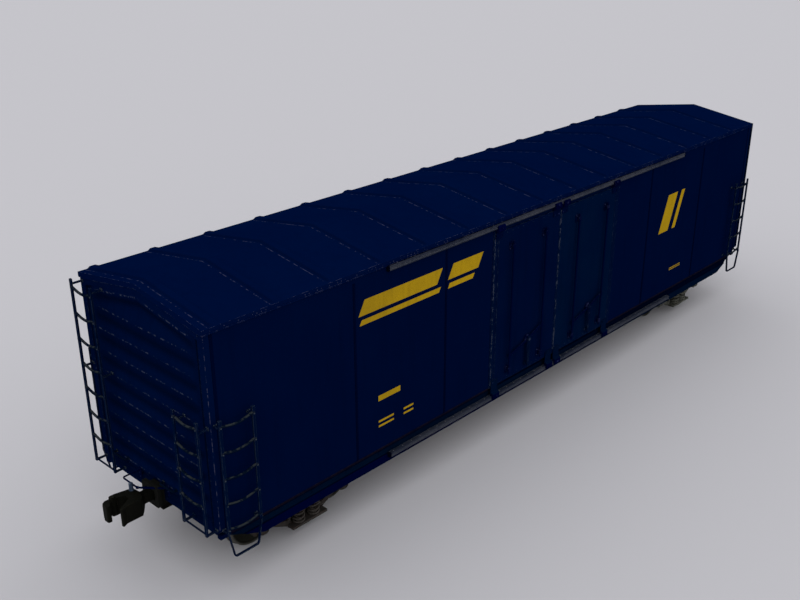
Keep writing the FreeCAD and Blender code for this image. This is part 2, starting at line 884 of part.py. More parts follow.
def center_sill():
    """A hat-shaped sill from striker to striker, with a mouth for the coupler at each end."""
    outer = d.sill_width / 2
    inner = outer - d.sill_web
    foot = outer + d.sill_flange
    sill_start = end_x - d.striker_reach + d.striker_thick
    beam = prism("sill_beam", "yz", both_sides([
        (inner, sill_top_z - d.sill_web),
        (inner, sill_low_z),
        (foot, sill_low_z),
        (foot, sill_low_z + d.sill_web),
        (outer, sill_low_z + d.sill_web),
        (outer, sill_top_z),
    ]), sill_start, -2 * sill_start)
    strikers = []
    for index, side in enumerate((-1, 1)):
        start = side * (half_length + d.striker_reach) - (d.striker_thick if side > 0 else ZERO)
        strikers.append(prism("striker_%d" % index, "yz", both_sides([
            (d.striker_width / 2, coupler_z - d.striker_height / 2, d.striker_soft),
            (d.striker_width / 2, coupler_z + d.striker_height / 2, d.striker_soft),
        ]), start, d.striker_thick))
    solid = fused("sill_solid", [beam] + strikers)
    mouths = []
    for index, side in enumerate((-1, 1)):
        middle = side * (half_length + d.striker_reach)
        mouths.append(block(
            "striker_mouth_%d" % index,
            (middle - d.striker_thick - d.cut_over, middle + d.striker_thick + d.cut_over),
            (-d.striker_mouth / 2, d.striker_mouth / 2),
            (coupler_z - d.shank_height / 2 - d.seat_gap,
             coupler_z + d.shank_height / 2 + d.striker_headroom),
        ))
    node("center_sill", cut("center_sill", solid, mouths))


def body_bolsters():
    """Two cross beams over the trucks, each with a centre plate and side bearing pads."""
    bowl_top = tread_z + d.frame_foot + d.frame_shelf + d.spring_height + d.bolster_end_depth
    plate_low = bowl_top + d.bowl_depth / 2 + d.seat_gap
    pad_low = bowl_top + d.bowl_depth + d.bolster_gap
    sill_y = d.sill_width / 2
    web_y = half_width - d.side_sill_inset - d.side_sill_plate
    mid_low = sill_low_z - d.body_bolster_drop
    wing = [
        (sill_y, sill_top_z),
        (inner_y, sill_top_z),
        (inner_y, base_z),
        (web_y, base_z),
        (web_y, base_z - d.body_bolster_tip),
        (sill_y, mid_low),
    ]
    wing_1 = prism("bolster_wing_1", "yz", wing, -d.body_bolster_width / 2, d.body_bolster_width)
    wing_2 = moved("bolster_wing_2", wing_1, ZERO, ZERO, ZERO, angle=180)
    filler = block(
        "bolster_filler",
        (-d.body_bolster_width / 2, d.body_bolster_width / 2),
        (-sill_y, sill_y),
        (mid_low, sill_low_z),
    )
    plate = rod("body_centre_plate", (ZERO, ZERO, plate_low), "z", mid_low - plate_low,
                d.bowl_radius - d.bowl_rim - d.running_gap)
    flange_cut = block(
        "bolster_flange_cut",
        (-d.body_bolster_width, d.body_bolster_width),
        (-sill_y - d.sill_flange, sill_y + d.sill_flange),
        (sill_low_z, sill_low_z + d.sill_web),
    )
    pads = []
    for index, side in enumerate((-1, 1)):
        y = side * d.side_bearing_offset
        slope = (d.side_bearing_offset - sill_y) / (web_y - sill_y)
        beam_low = mid_low + (base_z - d.body_bolster_tip - mid_low) * slope
        pads.append(block(
            "bolster_pad_%d" % index,
            (-d.side_bearing_length / 2, d.side_bearing_length / 2),
            (y - d.side_bearing_width / 2, y + d.side_bearing_width / 2),
            (pad_low, beam_low + d.side_bearing_width / 2),
        ))
    raw = fused("body_bolster_raw", [wing_1, wing_2, filler, plate] + pads)
    one = cut("body_bolster", raw, [flange_cut])
    both = group("body_bolsters", [
        moved("body_bolster_a", one, -truck_x, ZERO, ZERO),
        moved("body_bolster_b", one, truck_x, ZERO, ZERO),
    ])
    node("body_bolsters", both)


def crossbearer_places():
    """The places of the crossbearers along the car, a pitch apart between the trucks."""
    between = copies(2 * truck_x - 3 * d.crossbearer_pitch / 2, d.crossbearer_pitch)
    return [d.crossbearer_pitch * (index - (between - 1) / 2) for index in range(between)]


def crossbearers():
    """Cross beams between the centre sill and the side sills, each a web with two flanges."""
    sill_y = d.sill_width / 2
    web_y = half_width - d.side_sill_inset - d.side_sill_plate
    flange_top = sill_low_z + d.sill_web
    tip_z = base_z - d.body_bolster_tip
    web = prism("crossbearer_web", "yz", [
        (sill_y, sill_top_z),
        (inner_y, sill_top_z),
        (inner_y, base_z),
        (web_y, base_z),
        (web_y, tip_z),
        (sill_y + d.sill_flange, flange_top),
        (sill_y, flange_top),
    ], -d.crossbearer_web / 2, d.crossbearer_web)
    thick = d.crossbearer_flange
    low_flange = prism("crossbearer_low_flange", "yz", [
        (web_y, tip_z + thick),
        (web_y, tip_z),
        (sill_y + d.sill_flange, flange_top),
        (sill_y + d.sill_flange, flange_top + thick),
    ], -d.crossbearer_width / 2, d.crossbearer_width)
    top_flange = block("crossbearer_top_flange", (-d.crossbearer_width / 2, d.crossbearer_width / 2),
                       (sill_y, inner_y), (sill_top_z - thick, sill_top_z))
    wing = fused("crossbearer_wing", [web, low_flange, top_flange])
    pieces = []
    for index, x in enumerate(crossbearer_places()):
        pieces.append(moved("crossbearer_right_%d" % index, wing, x, ZERO, ZERO))
        pieces.append(moved("crossbearer_left_%d" % index, wing, x, ZERO, ZERO, angle=180))
    node("crossbearers", group("crossbearers", pieces))


def side_sills():
    """Bent side sills with a stepped face and cut-back ends."""
    face = -(half_width - d.side_sill_inset)
    step_face = face - d.side_sill_step
    plate = d.side_sill_plate
    band_top = side_sill_low_z + d.side_sill_band
    profile = [
        (face, base_z),
        (face, band_top + d.side_sill_step, d.side_sill_soft),
        (step_face, band_top, d.side_sill_soft),
        (step_face, side_sill_low_z, d.side_sill_soft),
        (step_face + d.side_sill_lip, side_sill_low_z),
        (step_face + d.side_sill_lip, side_sill_low_z + plate),
        (step_face + plate, side_sill_low_z + plate),
        (step_face + plate, band_top - plate / 2),
        (face + plate, band_top + d.side_sill_step - plate / 2),
        (face + plate, base_z),
    ]
    bar = prism("side_sill_bar", "yz", profile, end_x, d.body_length)
    ends = []
    for index, side in enumerate((-1, 1)):
        corner = side * half_length
        ends.append(prism("side_sill_end_%d" % index, "xz", [
            (corner + side * d.cut_over, base_z),
            (corner, base_z),
            (corner - side * d.side_sill_cut, side_sill_low_z),
            (corner - side * d.side_sill_cut, side_sill_low_z - d.cut_over),
            (corner + side * d.cut_over, side_sill_low_z - d.cut_over),
        ], -half_width - d.cut_over, half_width))
    sill = cut("side_sill", bar, ends)
    node("side_sill_right", sill)
    node("side_sill_left", turned("side_sill_other", sill))


def floor():
    """The load floor between the walls."""
    node("floor", block(
        "floor",
        (end_inner_x, -end_inner_x),
        (-inner_y, inner_y),
        (sill_top_z, sill_top_z + d.floor_thick),
    ))


def side_walls():
    """Flat side walls with raised seam strips, two on each side."""
    spans = {
        "a": (end_inner_x, -d.door_a_edge - d.post_width, (-d.seam_1, -d.seam_2)),
        "b": (d.door_b_edge + d.post_width, -end_inner_x, (d.seam_3, d.seam_4)),
    }
    for end, (start, stop, seams) in spans.items():
        panel = block("wall_panel_" + end, (start, stop), (-half_width, -inner_y), (base_z, wall_top_z))
        strips = [block(
            "wall_seam_%s_%d" % (end, index),
            (seam - d.seam_width / 2, seam + d.seam_width / 2),
            (-half_width - d.seam_proud, -half_width + d.seam_proud),
            (base_z, wall_top_z - d.track_height * 2),
        ) for index, seam in enumerate(seams)]
        wall = fused("wall_" + end, [panel] + strips)
        node("wall_right_" + end, wall)
        node("wall_left_" + ("b" if end == "a" else "a"), turned("wall_other_" + end, wall))


def door_frames():
    """Posts, header and threshold round each pair of doors, in one piece."""
    start = -d.door_a_edge - d.post_width
    stop = d.door_b_edge + d.post_width
    slab = block("door_frame_slab", (start, stop), (-half_width, -inner_y), (base_z, wall_top_z))
    post_top = base_z + d.upper_track_rise - d.track_height
    posts = [block(
        "door_post_%d" % index,
        (x, x + d.post_width),
        (-half_width - d.post_proud, -inner_y),
        (base_z, post_top),
    ) for index, x in enumerate((start, d.door_b_edge))]
    opening = block(
        "door_frame_opening",
        (-d.door_a_edge, d.door_b_edge),
        (-half_width - d.cut_over, -inner_y + d.cut_over),
        (door_low_z, door_top_z),
    )
    frame = cut("door_frame", fused("door_frame_solid", [slab] + posts), [opening])
    node("door_frame_right", frame)
    node("door_frame_left", turned("door_frame_other", frame))


def doors():
    """Plug doors with rounded edges, which fill the frame and stand a little proud of the wall."""
    gap = d.door_gap / 2
    spans = {
        "a": (-d.door_a_edge + d.seat_gap, d.door_joint - gap),
        "b": (d.door_joint + gap, d.door_b_edge - d.seat_gap),
    }
    for end, (start, stop) in spans.items():
        door = prism("door_" + end, "xy", [
            (start, -inner_y),
            (start, door_face, d.door_soft),
            (stop, door_face, d.door_soft),
            (stop, -inner_y),
        ], door_low_z, door_top_z - d.seat_gap - door_low_z)
        node("door_right_" + end, door)
        node("door_left_" + ("b" if end == "a" else "a"), turned("door_other_" + end, door))


def hanger(name, x, track_z, door_edge, side):
    """A roller hanger that wraps the front of a track and laps over the face of a door.

    side is 1 where the track runs over the door and -1 where it runs under it."""
    front = -half_width - d.track_depth
    seat = door_face - d.seat_gap
    near = track_z - side * d.track_height / 2
    far = track_z + side * d.track_height / 4
    return prism(name, "yz", [
        (front + d.hanger_lip, far),
        (front - d.hanger_proud, far, d.hanger_soft),
        (front - d.hanger_proud, near - side * d.hanger_drop, d.hanger_soft),
        (seat - d.hanger_arm, near - side * (d.hanger_drop + d.hanger_lip)),
        (seat - d.hanger_arm, door_edge - side * d.hanger_lap),
        (seat, door_edge - side * d.hanger_lap),
        (seat, near + side * d.hanger_lip / 2),
    ], x - d.hanger_width / 2, d.hanger_width)


def door_tracks():
    """Upper and lower rails with the roller hangers of the doors on them."""
    face = -half_width
    front = face - d.track_depth
    hanger_places = [
        -d.door_a_edge + d.hanger_inset + d.hanger_shift,
        d.door_joint - d.hanger_inset + d.hanger_shift,
        d.door_joint + d.hanger_inset,
        d.door_b_edge - d.hanger_inset,
    ]
    sill_face = face + d.side_sill_inset - d.side_sill_step
    rails = []
    for name, back, z, edge, side in (
            ("upper", face, base_z + d.upper_track_rise, door_top_z, 1),
            ("lower", sill_face, base_z - d.lower_track_fall, door_low_z, -1)):
        rail = prism("track_" + name, "yz", [
            (back, z + d.track_height / 2),
            (front, z + d.track_height / 2, d.track_soft),
            (front, z - d.track_height / 2, d.track_soft),
            (back, z - d.track_height / 2),
        ], -d.track_start, d.track_start + d.track_end)
        hangers = [hanger("hanger_%s_%d" % (name, index), x, z, edge, side)
                   for index, x in enumerate(hanger_places)]
        rails.append(fused("track_hung_" + name, [rail] + hangers))
    tracks = group("door_tracks", rails)
    node("door_tracks_right", tracks)
    node("door_tracks_left", turned("door_tracks_other", tracks))


def keeper(name, x, z):
    """A guide of a lock rod: a plate with rounded corners, a web and a barrel, z at its middle."""
    seat = door_face - d.seat_gap
    rod_y = door_face - d.rod_standoff
    half = d.keeper_width / 2
    tall = d.keeper_height / 2
    plate = prism(name + "_plate", "xz", [
        (x - half, z - tall, d.keeper_soft),
        (x + half, z - tall, d.keeper_soft),
        (x + half, z + tall, d.keeper_soft),
        (x - half, z + tall, d.keeper_soft),
    ], seat - d.keeper_plate, d.keeper_plate)
    web = block(
        name + "_web",
        (x - d.keeper_radius * 2 / 3, x + d.keeper_radius * 2 / 3),
        (rod_y, seat),
        (z - d.keeper_length / 2, z + d.keeper_length / 2),
    )
    barrel = rod(name + "_barrel", (x, rod_y, z - d.keeper_length / 2), "z", d.keeper_length, d.keeper_radius)
    return [plate, web, barrel]


def door_gear():
    """Lock rods in their keepers, with a hub, two links, a crank on each rod and a hanging handle."""
    seat = door_face - d.seat_gap
    rod_y = door_face - d.rod_standoff
    hub_front = seat - d.hub_depth
    link_front = hub_front - d.link_thick
    hub_z = base_z + d.hub_rise
    spans = {
        "a": (-d.door_a_edge, d.door_joint, d.gear_shift_a),
        "b": (d.door_joint, d.door_b_edge, d.gear_shift_b),
    }
    gears = []
    for end, (start, stop, shift) in spans.items():
        middle = (start + stop) / 2 + shift
        hub_x = middle + d.hub_offset
        pieces = []
        for index, side in enumerate((-1, 1)):
            x = middle + side * d.rod_spacing / 2
            tag = "%s_%d" % (end, index)
            pieces.append(rod("lock_rod_" + tag, (x, rod_y, base_z + d.rod_low), "z",
                              d.rod_top - d.rod_low, d.rod_radius))
            for row, z in enumerate((base_z + d.keeper_low, base_z + d.keeper_top)):
                pieces += keeper("keeper_%s_%d" % (tag, row), x, z)
            crank_z = hub_z + side * d.link_fall
            pieces.append(rod("lock_crank_" + tag, (x, rod_y, crank_z - d.crank_length / 2), "z",
                              d.crank_length, d.crank_radius))
            half = d.link_width / 2
            pieces.append(prism("gear_link_" + tag, "xz", [
                (hub_x, hub_z - half),
                (x, crank_z - half),
                (x, crank_z + half),
                (hub_x, hub_z + half),
            ], link_front, d.link_thick))
        pieces.append(rod("gear_hub_" + end, (hub_x, hub_front, hub_z), "y", d.hub_depth, d.hub_size_radius))
        pieces.append(rod("gear_boss_" + end, (hub_x, link_front, hub_z), "y",
                          d.link_thick, d.hub_size_radius * 2 / 3))
        handle_z = hub_z - d.handle_length
        head_z = hub_z + d.handle_top * 2 / 3
        pieces.append(prism("gear_handle_" + end, "xz", [
            (hub_x - d.handle_foot / 2, handle_z, d.handle_soft),
            (hub_x + d.handle_foot / 2, handle_z, d.handle_soft),
            (hub_x + d.handle_top / 2, head_z, d.handle_soft),
            (hub_x - d.handle_top / 2, head_z, d.handle_soft),
        ], link_front - d.handle_thick, d.handle_thick))
        pieces.append(block(
            "handle_catch_" + end,
            (hub_x - d.catch_size / 2, hub_x + d.catch_size / 2),
            (link_front, seat),
            (handle_z + d.catch_size / 2, handle_z + d.catch_size * 3 / 2),
        ))
        gears.append(fused("gear_" + end, pieces))
    gear = group("door_gear", gears)
    node("door_gear_right", gear)
    node("door_gear_left", turned("door_gear_other", gear))


def end_rib(name, half_low, half_high, crest, fall, over):
    """A pressed rib of the end: steep under its crest, long above it, and tapered at both ends.

    crest is the crest's height at the middle and fall how far it drops per length of its half."""
    def ring(half, low, high):
        return [
            (-half, crest - low - fall * half),
            (ZERO, crest - low),
            (half, crest - low - fall * half),
            (half, crest + high - fall * half),
            (ZERO, crest + high),
            (-half, crest + high - fall * half),
        ]

    top = d.end_rib_crest_width / 2
    return lofted(
        name,
        end_x + d.end_recess + d.cut_over,
        ring(half_low, top + d.end_rib_under, top + over),
        end_x,
        ring(half_high, top, top),
    )


def end_walls():
    """Ribbed ends with corner posts, a gabled top band and a notch for the centre sill."""
    slab = prism("end_slab", "yz", [
        (-half_width, wall_top_z),
        (-half_width, base_z + d.corner_cut),
        (-half_width + d.corner_cut, base_z),
        (half_width - d.corner_cut, base_z),
        (half_width, base_z + d.corner_cut),
        (half_width, wall_top_z),
        (inner_y, wall_top_z),
        (ZERO, peak_z),
        (-inner_y, wall_top_z),
    ], end_x, d.end_thick)
    strip_x = end_inner_x - d.corner_strip
    strip_y = half_width - d.corner_strip_depth
    plan = prism("end_plan", "xy", [
        (end_x, -half_width, d.corner_soft),
        (strip_x, -half_width),
        (strip_x, -strip_y),
        (end_inner_x, -strip_y),
        (end_inner_x, strip_y),
        (strip_x, strip_y),
        (strip_x, half_width),
        (end_x, half_width, d.corner_soft),
    ], base_z, peak_z - base_z)
    body = shared("end_body", slab, plan)
    fall = d.end_cap_band
    field = prism("end_field", "yz", [
        (-end_field_y, base_z + d.end_foot_band, d.end_field_soft),
        (end_field_y, base_z + d.end_foot_band, d.end_field_soft),
        (end_field_y, wall_top_z - fall, d.end_field_soft),
        (ZERO, peak_z - fall),
        (-end_field_y, wall_top_z - fall, d.end_field_soft),
    ], end_x - d.cut_over, d.end_recess + d.cut_over)
    grooves = []
    for index, side in enumerate((-1, 1)):
        near = side * (half_width - d.corner_post)
        far = side * end_field_y
        low, high = (near, far) if side < 0 else (far, near)
        grooves.append(block(
            "corner_groove_%d" % index,
            (end_x - d.cut_over, end_x + d.end_recess / 2),
            (low, high),
            (base_z + d.corner_cut, wall_top_z - fall),
        ))
    notch = block(
        "end_notch",
        (end_x - d.cut_over, end_inner_x + d.cut_over),
        (-d.sill_width / 2, d.sill_width / 2),
        (base_z - d.cut_over, sill_top_z),
    )
    crest_half = end_field_y - d.end_rib_taper
    room = wall_top_z - fall - first_crest_z - d.end_rib_crest_width / 2 - d.end_rib_over
    ribs = []
    for index in range(copies(room, d.end_rib_pitch)):
        crest = first_crest_z + d.end_rib_pitch * index
        ribs.append(end_rib("end_rib_%d" % index, end_field_y, crest_half, crest, 0, d.end_rib_over))
    slope = d.ridge_rise / inner_y
    ribs.append(end_rib("end_rib_arch", end_field_y, crest_half, peak_z - d.end_arch_fall, slope,
                        d.end_arch_fall / 3))
    carved = cut("end_carved", body, [field] + grooves)
    ribbed = fused("end_ribbed", [carved] + ribs)
    end = cut("end_wall", ribbed, [notch])
    node("end_wall_a", end)
    node("end_wall_b", turned("end_wall_other", end))


def roof():
    """A gabled roof with transverse ribs of hat section that run from the ridge to the eaves."""
    edge = half_width + d.roof_lap
    slab = prism("roof_sheet", "yz", [
        (-edge, eave_z),
        (-edge, wall_top_z),
        (-inner_y, wall_top_z),
        (ZERO, peak_z),
        (inner_y, wall_top_z),
        (edge, wall_top_z),
        (edge, eave_z),
        (ZERO, ridge_z),
    ], end_x - d.roof_lap, d.body_length + 2 * d.roof_lap)
    wide = d.roof_rib_width / 2
    crown = d.roof_rib_crown / 2
    high = eave_z + d.roof_rib_height
    root = eave_z - d.roof_thick / 4
    section = outline("roof_rib_outline", [
        (-wide, root),
        (wide, root),
        (wide, eave_z),
        (crown, high, d.roof_rib_soft),
        (-crown, high, d.roof_rib_soft),
        (-wide, eave_z),
    ])
    section.Placement = FreeCAD.Placement(FreeCAD.Vector(), FreeCAD.Rotation(X_AXIS, 90))
    bind(section, "Placement.Base.y", -edge)
    near = slanted("roof_rib_near", section, (ZERO, edge, ridge_z - eave_z))
    rib = fused("roof_rib", [near, moved("roof_rib_far", near, ZERO, ZERO, ZERO, angle=180)])
    ribs = []
    for index in range(copies(d.body_length - 2 * d.roof_rib_first, d.roof_rib_pitch)):
        x = end_x + d.roof_rib_first + d.roof_rib_pitch * index
        ribs.append(moved("roof_rib_%d" % index, rib, x, ZERO, ZERO))
    node("roof", fused("roof", [slab] + ribs))


def ladder(name, across, gap, low, high, top, feet):
    """A ladder of two stiles and round rungs that stands off a wall along -X or -Y.

    across is x or y, the way the rungs run; gap is how far it stands off; low and high are the
    stiles' outer edges; feet are the heights of its brackets' undersides."""
    wall = end_x if across == "y" else -half_width
    face = (wall - gap, wall - gap + d.stile_thick)
    pieces = []

    def slab(tag, along, depth, z_span):
        if across == "y":
            return block(name + tag, depth, along, z_span)
        return block(name + tag, along, depth, z_span)

    for index, at in enumerate((low, high - d.stile_width)):
        span = (at, at + d.stile_width)
        pieces.append(slab("_stile_%d" % index, span, face, (base_z + d.ladder_foot, base_z + top)))
        for row, z in enumerate(feet):
            foot = (z, z + d.ladder_foot_size)
            pieces.append(slab("_foot_%d_%d" % (index, row), span, (face[0], wall), foot))
    rung_at = wall - gap + d.stile_thick / 2
    for index in range(copies(top - d.first_rung, d.rung_pitch)):
        z = base_z + d.first_rung + d.rung_pitch * index
        start = low + d.stile_width / 2
        reach = high - low - d.stile_width
        if across == "y":
            pieces.append(rod(name + "_rung_%d" % index, (rung_at, start, z), "y", reach, d.rung_radius))
        else:
            pieces.append(rod(name + "_rung_%d" % index, (start, rung_at, z), "x", reach, d.rung_radius))
    return fused(name, pieces)


def grab_iron(name, y):
    """A bent handhold on the lowest rib of an end, y at its middle."""
    half = d.grab_length / 2
    bar_x = end_x - d.grab_standoff
    pieces = [rod(name + "_bar", (bar_x, y - half, first_crest_z), "y", d.grab_length, d.grab_radius)]
    for index, at in enumerate((y - half + d.grab_radius, y + half - d.grab_radius)):
        pieces.append(rod("%s_leg_%d" % (name, index), (bar_x, at, first_crest_z), "x",
                          d.grab_standoff, d.grab_radius))
    return fused(name, pieces)


def ladders():
    """Tall and short end ladders with handholds, and side ladders with sill steps under them."""
    edge = half_width - d.ladder_edge
    half_foot = d.ladder_foot_size / 2
    low_foot = base_z + d.ladder_foot
    mid_foot = first_crest_z + 4 * d.end_rib_pitch - half_foot
    inner_stile = edge - d.ladder_width + d.stile_width / 2
    top_foot = peak_z - d.end_arch_fall - d.ridge_rise / inner_y * inner_stile - half_foot
    stand = d.end_ladder_standoff
    pair = group("end_ladders", [
        ladder("ladder_tall", "y", stand, edge - d.ladder_width, edge, d.tall_ladder_top,
               (low_foot, mid_foot, top_foot)),
        ladder("ladder_short", "y", stand, -edge, -edge + d.ladder_width, d.short_ladder_top,
               (low_foot, mid_foot)),
        grab_iron("grab_left", d.grab_left),
        grab_iron("grab_right", -d.grab_right),
    ])
    node("end_ladders_a", pair)
    node("end_ladders_b", turned("end_ladders_other", pair))
    starts = {"a": end_x + d.ladder_edge, "b": half_length - d.ladder_edge - d.side_ladder_width}
    sides = []
    for end, start in starts.items():
        stop = start + d.side_ladder_width
        side = ladder("ladder_side_" + end, "x", d.side_ladder_standoff, start, stop, d.short_ladder_top,
                      (low_foot, base_z + d.short_ladder_top - d.ladder_head))
        low = base_z - d.step_drop
        top = low_foot + d.ladder_foot_size
        bar = d.step_bar
        slant = d.step_slant
        step = prism("sill_step_" + end, "xz", [
            (start, top),
            (start + slant, low, bar * 2),
            (stop - slant, low, bar * 2),
            (stop, top),
            (stop - bar, top),
            (stop - slant - bar, low + bar, bar),
            (start + slant + bar, low + bar, bar),
            (start + bar, top),
        ], -half_width - d.side_ladder_standoff, d.step_plate)
        sides.append(fused("side_ladder_" + end, [side, step]))
    pair = group("side_ladders", sides)
    node("side_ladders_right", pair)
    node("side_ladders_left", turned("side_ladders_other", pair))


def coupler_head():
    """The head of a coupler: a flared neck, a guard arm, a throat and two lugs round the knuckle pin."""
    half_s = d.shank_width / 2
    half_h = d.head_height / 2
    wide = d.head_width / 2
    neck = end_x - d.shank_reach
    flare = d.neck_flare
    hub_x = end_x - d.knuckle_hub_reach
    hub_y = d.knuckle_offset
    lug = d.knuckle_hub_radius
    throat = end_x - d.throat_reach
    guard = end_x - d.guard_reach
    arm = d.guard_thick
    plan = prism("head_plan", "xy", [
        (neck, -half_s),
        (neck - flare, -half_s - flare, d.head_soft),
        (neck - flare * 2, -wide, d.head_soft),
        (end_x - d.head_reach, -wide, d.throat_soft),
        (guard, -wide - d.guard_flare, d.head_soft / 2),
        (guard, -wide - d.guard_flare + arm, d.head_soft / 2),
        (end_x - d.head_reach, -wide + arm, d.throat_soft),
        (throat, -arm, d.throat_soft),
        (throat, arm / 2, d.head_soft / 2),
        (hub_x + lug, hub_y - lug, d.head_soft / 2),
        (hub_x - lug, hub_y - lug, d.head_soft),
        (hub_x - lug, hub_y + lug, d.throat_soft),
        (hub_x + lug, hub_y + lug, d.head_soft),
        (neck - flare, half_s + flare, d.head_soft),
        (neck, half_s),
    ], coupler_z - half_h, d.head_height)
    side = prism("head_side", "xz", [
        (neck, coupler_z - d.shank_height / 2),
        (neck - flare, coupler_z - half_h, d.throat_soft),
        (guard - d.cut_over, coupler_z - half_h),
        (guard - d.cut_over, coupler_z + half_h),
        (neck - flare, coupler_z + half_h, d.throat_soft),
        (neck, coupler_z + d.shank_height / 2),
    ], -d.head_width, d.head_width * 2)
    return shared("head", plan, side)


def couplers():
    """A coupler on a swinging shank and its knuckle, which opens about a pin through the lugs."""
    pivot_x = end_x + d.coupler_pivot
    half_h = d.head_height / 2
    half_s = d.shank_width / 2
    hub_x = end_x - d.knuckle_hub_reach
    hub_y = d.knuckle_offset
    shank_low = coupler_z - d.shank_height / 2
    butt = rod("shank_butt", (pivot_x, ZERO, shank_low), "z", d.shank_height, d.shank_butt)
    shank = block(
        "shank",
        (end_x - d.shank_reach - d.cut_over, pivot_x),
        (-half_s, half_s),
        (shank_low, coupler_z + d.shank_height / 2),
    )
    room = d.knuckle_hub_height / 2
    slot_r = d.knuckle_hub_radius + d.running_gap
    slot = rod("knuckle_slot", (hub_x, hub_y, coupler_z - room - d.seat_gap), "z",
               d.knuckle_hub_height + d.seat_gap + d.pin_gap, slot_r)
    slot_side = block(
        "knuckle_slot_side",
        (hub_x - d.head_width, hub_x),
        (hub_y - slot_r, hub_y + d.head_width),
        (coupler_z - room - d.seat_gap, coupler_z + room + d.pin_gap),
    )
    carved = cut("coupler_carved", fused("coupler_solid", [butt, shank, coupler_head()]), [slot, slot_side])
    pin = rod("knuckle_pin", (hub_x, hub_y, coupler_z - half_h), "z", d.head_height,
              d.knuckle_pin_radius - d.pin_gap)
    pin_head = rod("knuckle_pin_head", (hub_x, hub_y, coupler_z + half_h), "z",
                   d.knuckle_pin_cap, d.knuckle_pin_head)
    lifter = rod("lock_lifter", (end_x - d.lifter_reach, d.lifter_offset, coupler_z), "z",
                 half_h + d.lifter_rise, d.lifter_radius)
    coupler = fused("coupler", [carved, pin, pin_head, lifter])
    node("coupler_a", coupler)
    node("coupler_b", turned("coupler_other", coupler))
    tip = end_x - d.knuckle_reach
    face = tip + d.knuckle_nose
    radius = d.knuckle_hub_radius
    soft = d.knuckle_soft
    grip = [
        (face, -d.knuckle_nose_past, soft),
        (tip, -d.knuckle_nose_past, soft),
        (tip, hub_y - radius / 2, soft * 2),
    ]
    arm = prism("knuckle_arm", "xy", [(face, hub_y - radius, soft)] + grip + [
        (hub_x - radius * 2, hub_y + radius, soft * 2),
        (hub_x, hub_y + radius),
        (hub_x, hub_y - radius / 2),
    ], coupler_z - room, d.knuckle_hub_height)
    nose = prism("knuckle_nose", "xy", grip + [(face, hub_y + radius / 4)],
                 coupler_z - d.knuckle_height / 2, d.knuckle_height)
    hub = rod("knuckle_hub", (hub_x, hub_y, coupler_z - room), "z", d.knuckle_hub_height, radius)
    bore = rod("knuckle_bore", (hub_x, hub_y, coupler_z - room - d.cut_over), "z",
               d.knuckle_hub_height + d.cut_over * 2, d.knuckle_pin_radius)
    knuckle = cut("knuckle", fused("knuckle_solid", [arm, nose, hub]), [bore])
    node("knuckle_a", knuckle)
    node("knuckle_b", turned("knuckle_other", knuckle))


def uncoupling_levers():
    """A bent lift rod over the coupler's neck at each end, braced back to the end wall."""
    y = d.lever_bracket_offset
    z = base_z + d.lever_rise
    size = d.lever_bracket
    tip_x = end_x - d.lever_reach
    plate_low = base_z + d.end_foot_band - size
    plates = [block(
        "lever_plate_%d" % index,
        (end_x - d.lever_plate, end_x),
        (at - size / 2, at + size / 2),
        (plate_low, z + d.lever_radius),
    ) for index, at in enumerate((y, -d.brace_offset))]
    out = rod("lever_out", (tip_x, y, z), "x", d.lever_reach - d.lever_plate / 2, d.lever_radius)
    corner = rod("lever_corner", (tip_x, y, z - d.lever_radius), "z", d.lever_radius * 2, d.lever_radius)
    along = rod("lever_along", (tip_x, d.lever_tip, z), "y", y - d.lever_tip, d.lever_radius)
    half = d.brace_width / 2
    brace = prism("lever_brace", "xy", [
        (tip_x - half, d.lever_tip + half, half / 2),
        (tip_x - half, d.lever_tip - half, half / 2),
        (end_x - d.lever_plate / 2, -d.brace_offset - half),
        (end_x - d.lever_plate / 2, -d.brace_offset + half),
        (tip_x + half, d.lever_tip + half, half / 2),
    ], z - d.brace_thick / 2, d.brace_thick)
    lever = fused("lever", plates + [out, corner, along, brace])
    both = group("uncoupling_levers", [lever, turned("lever_other", lever)])
    node("uncoupling_levers", both)


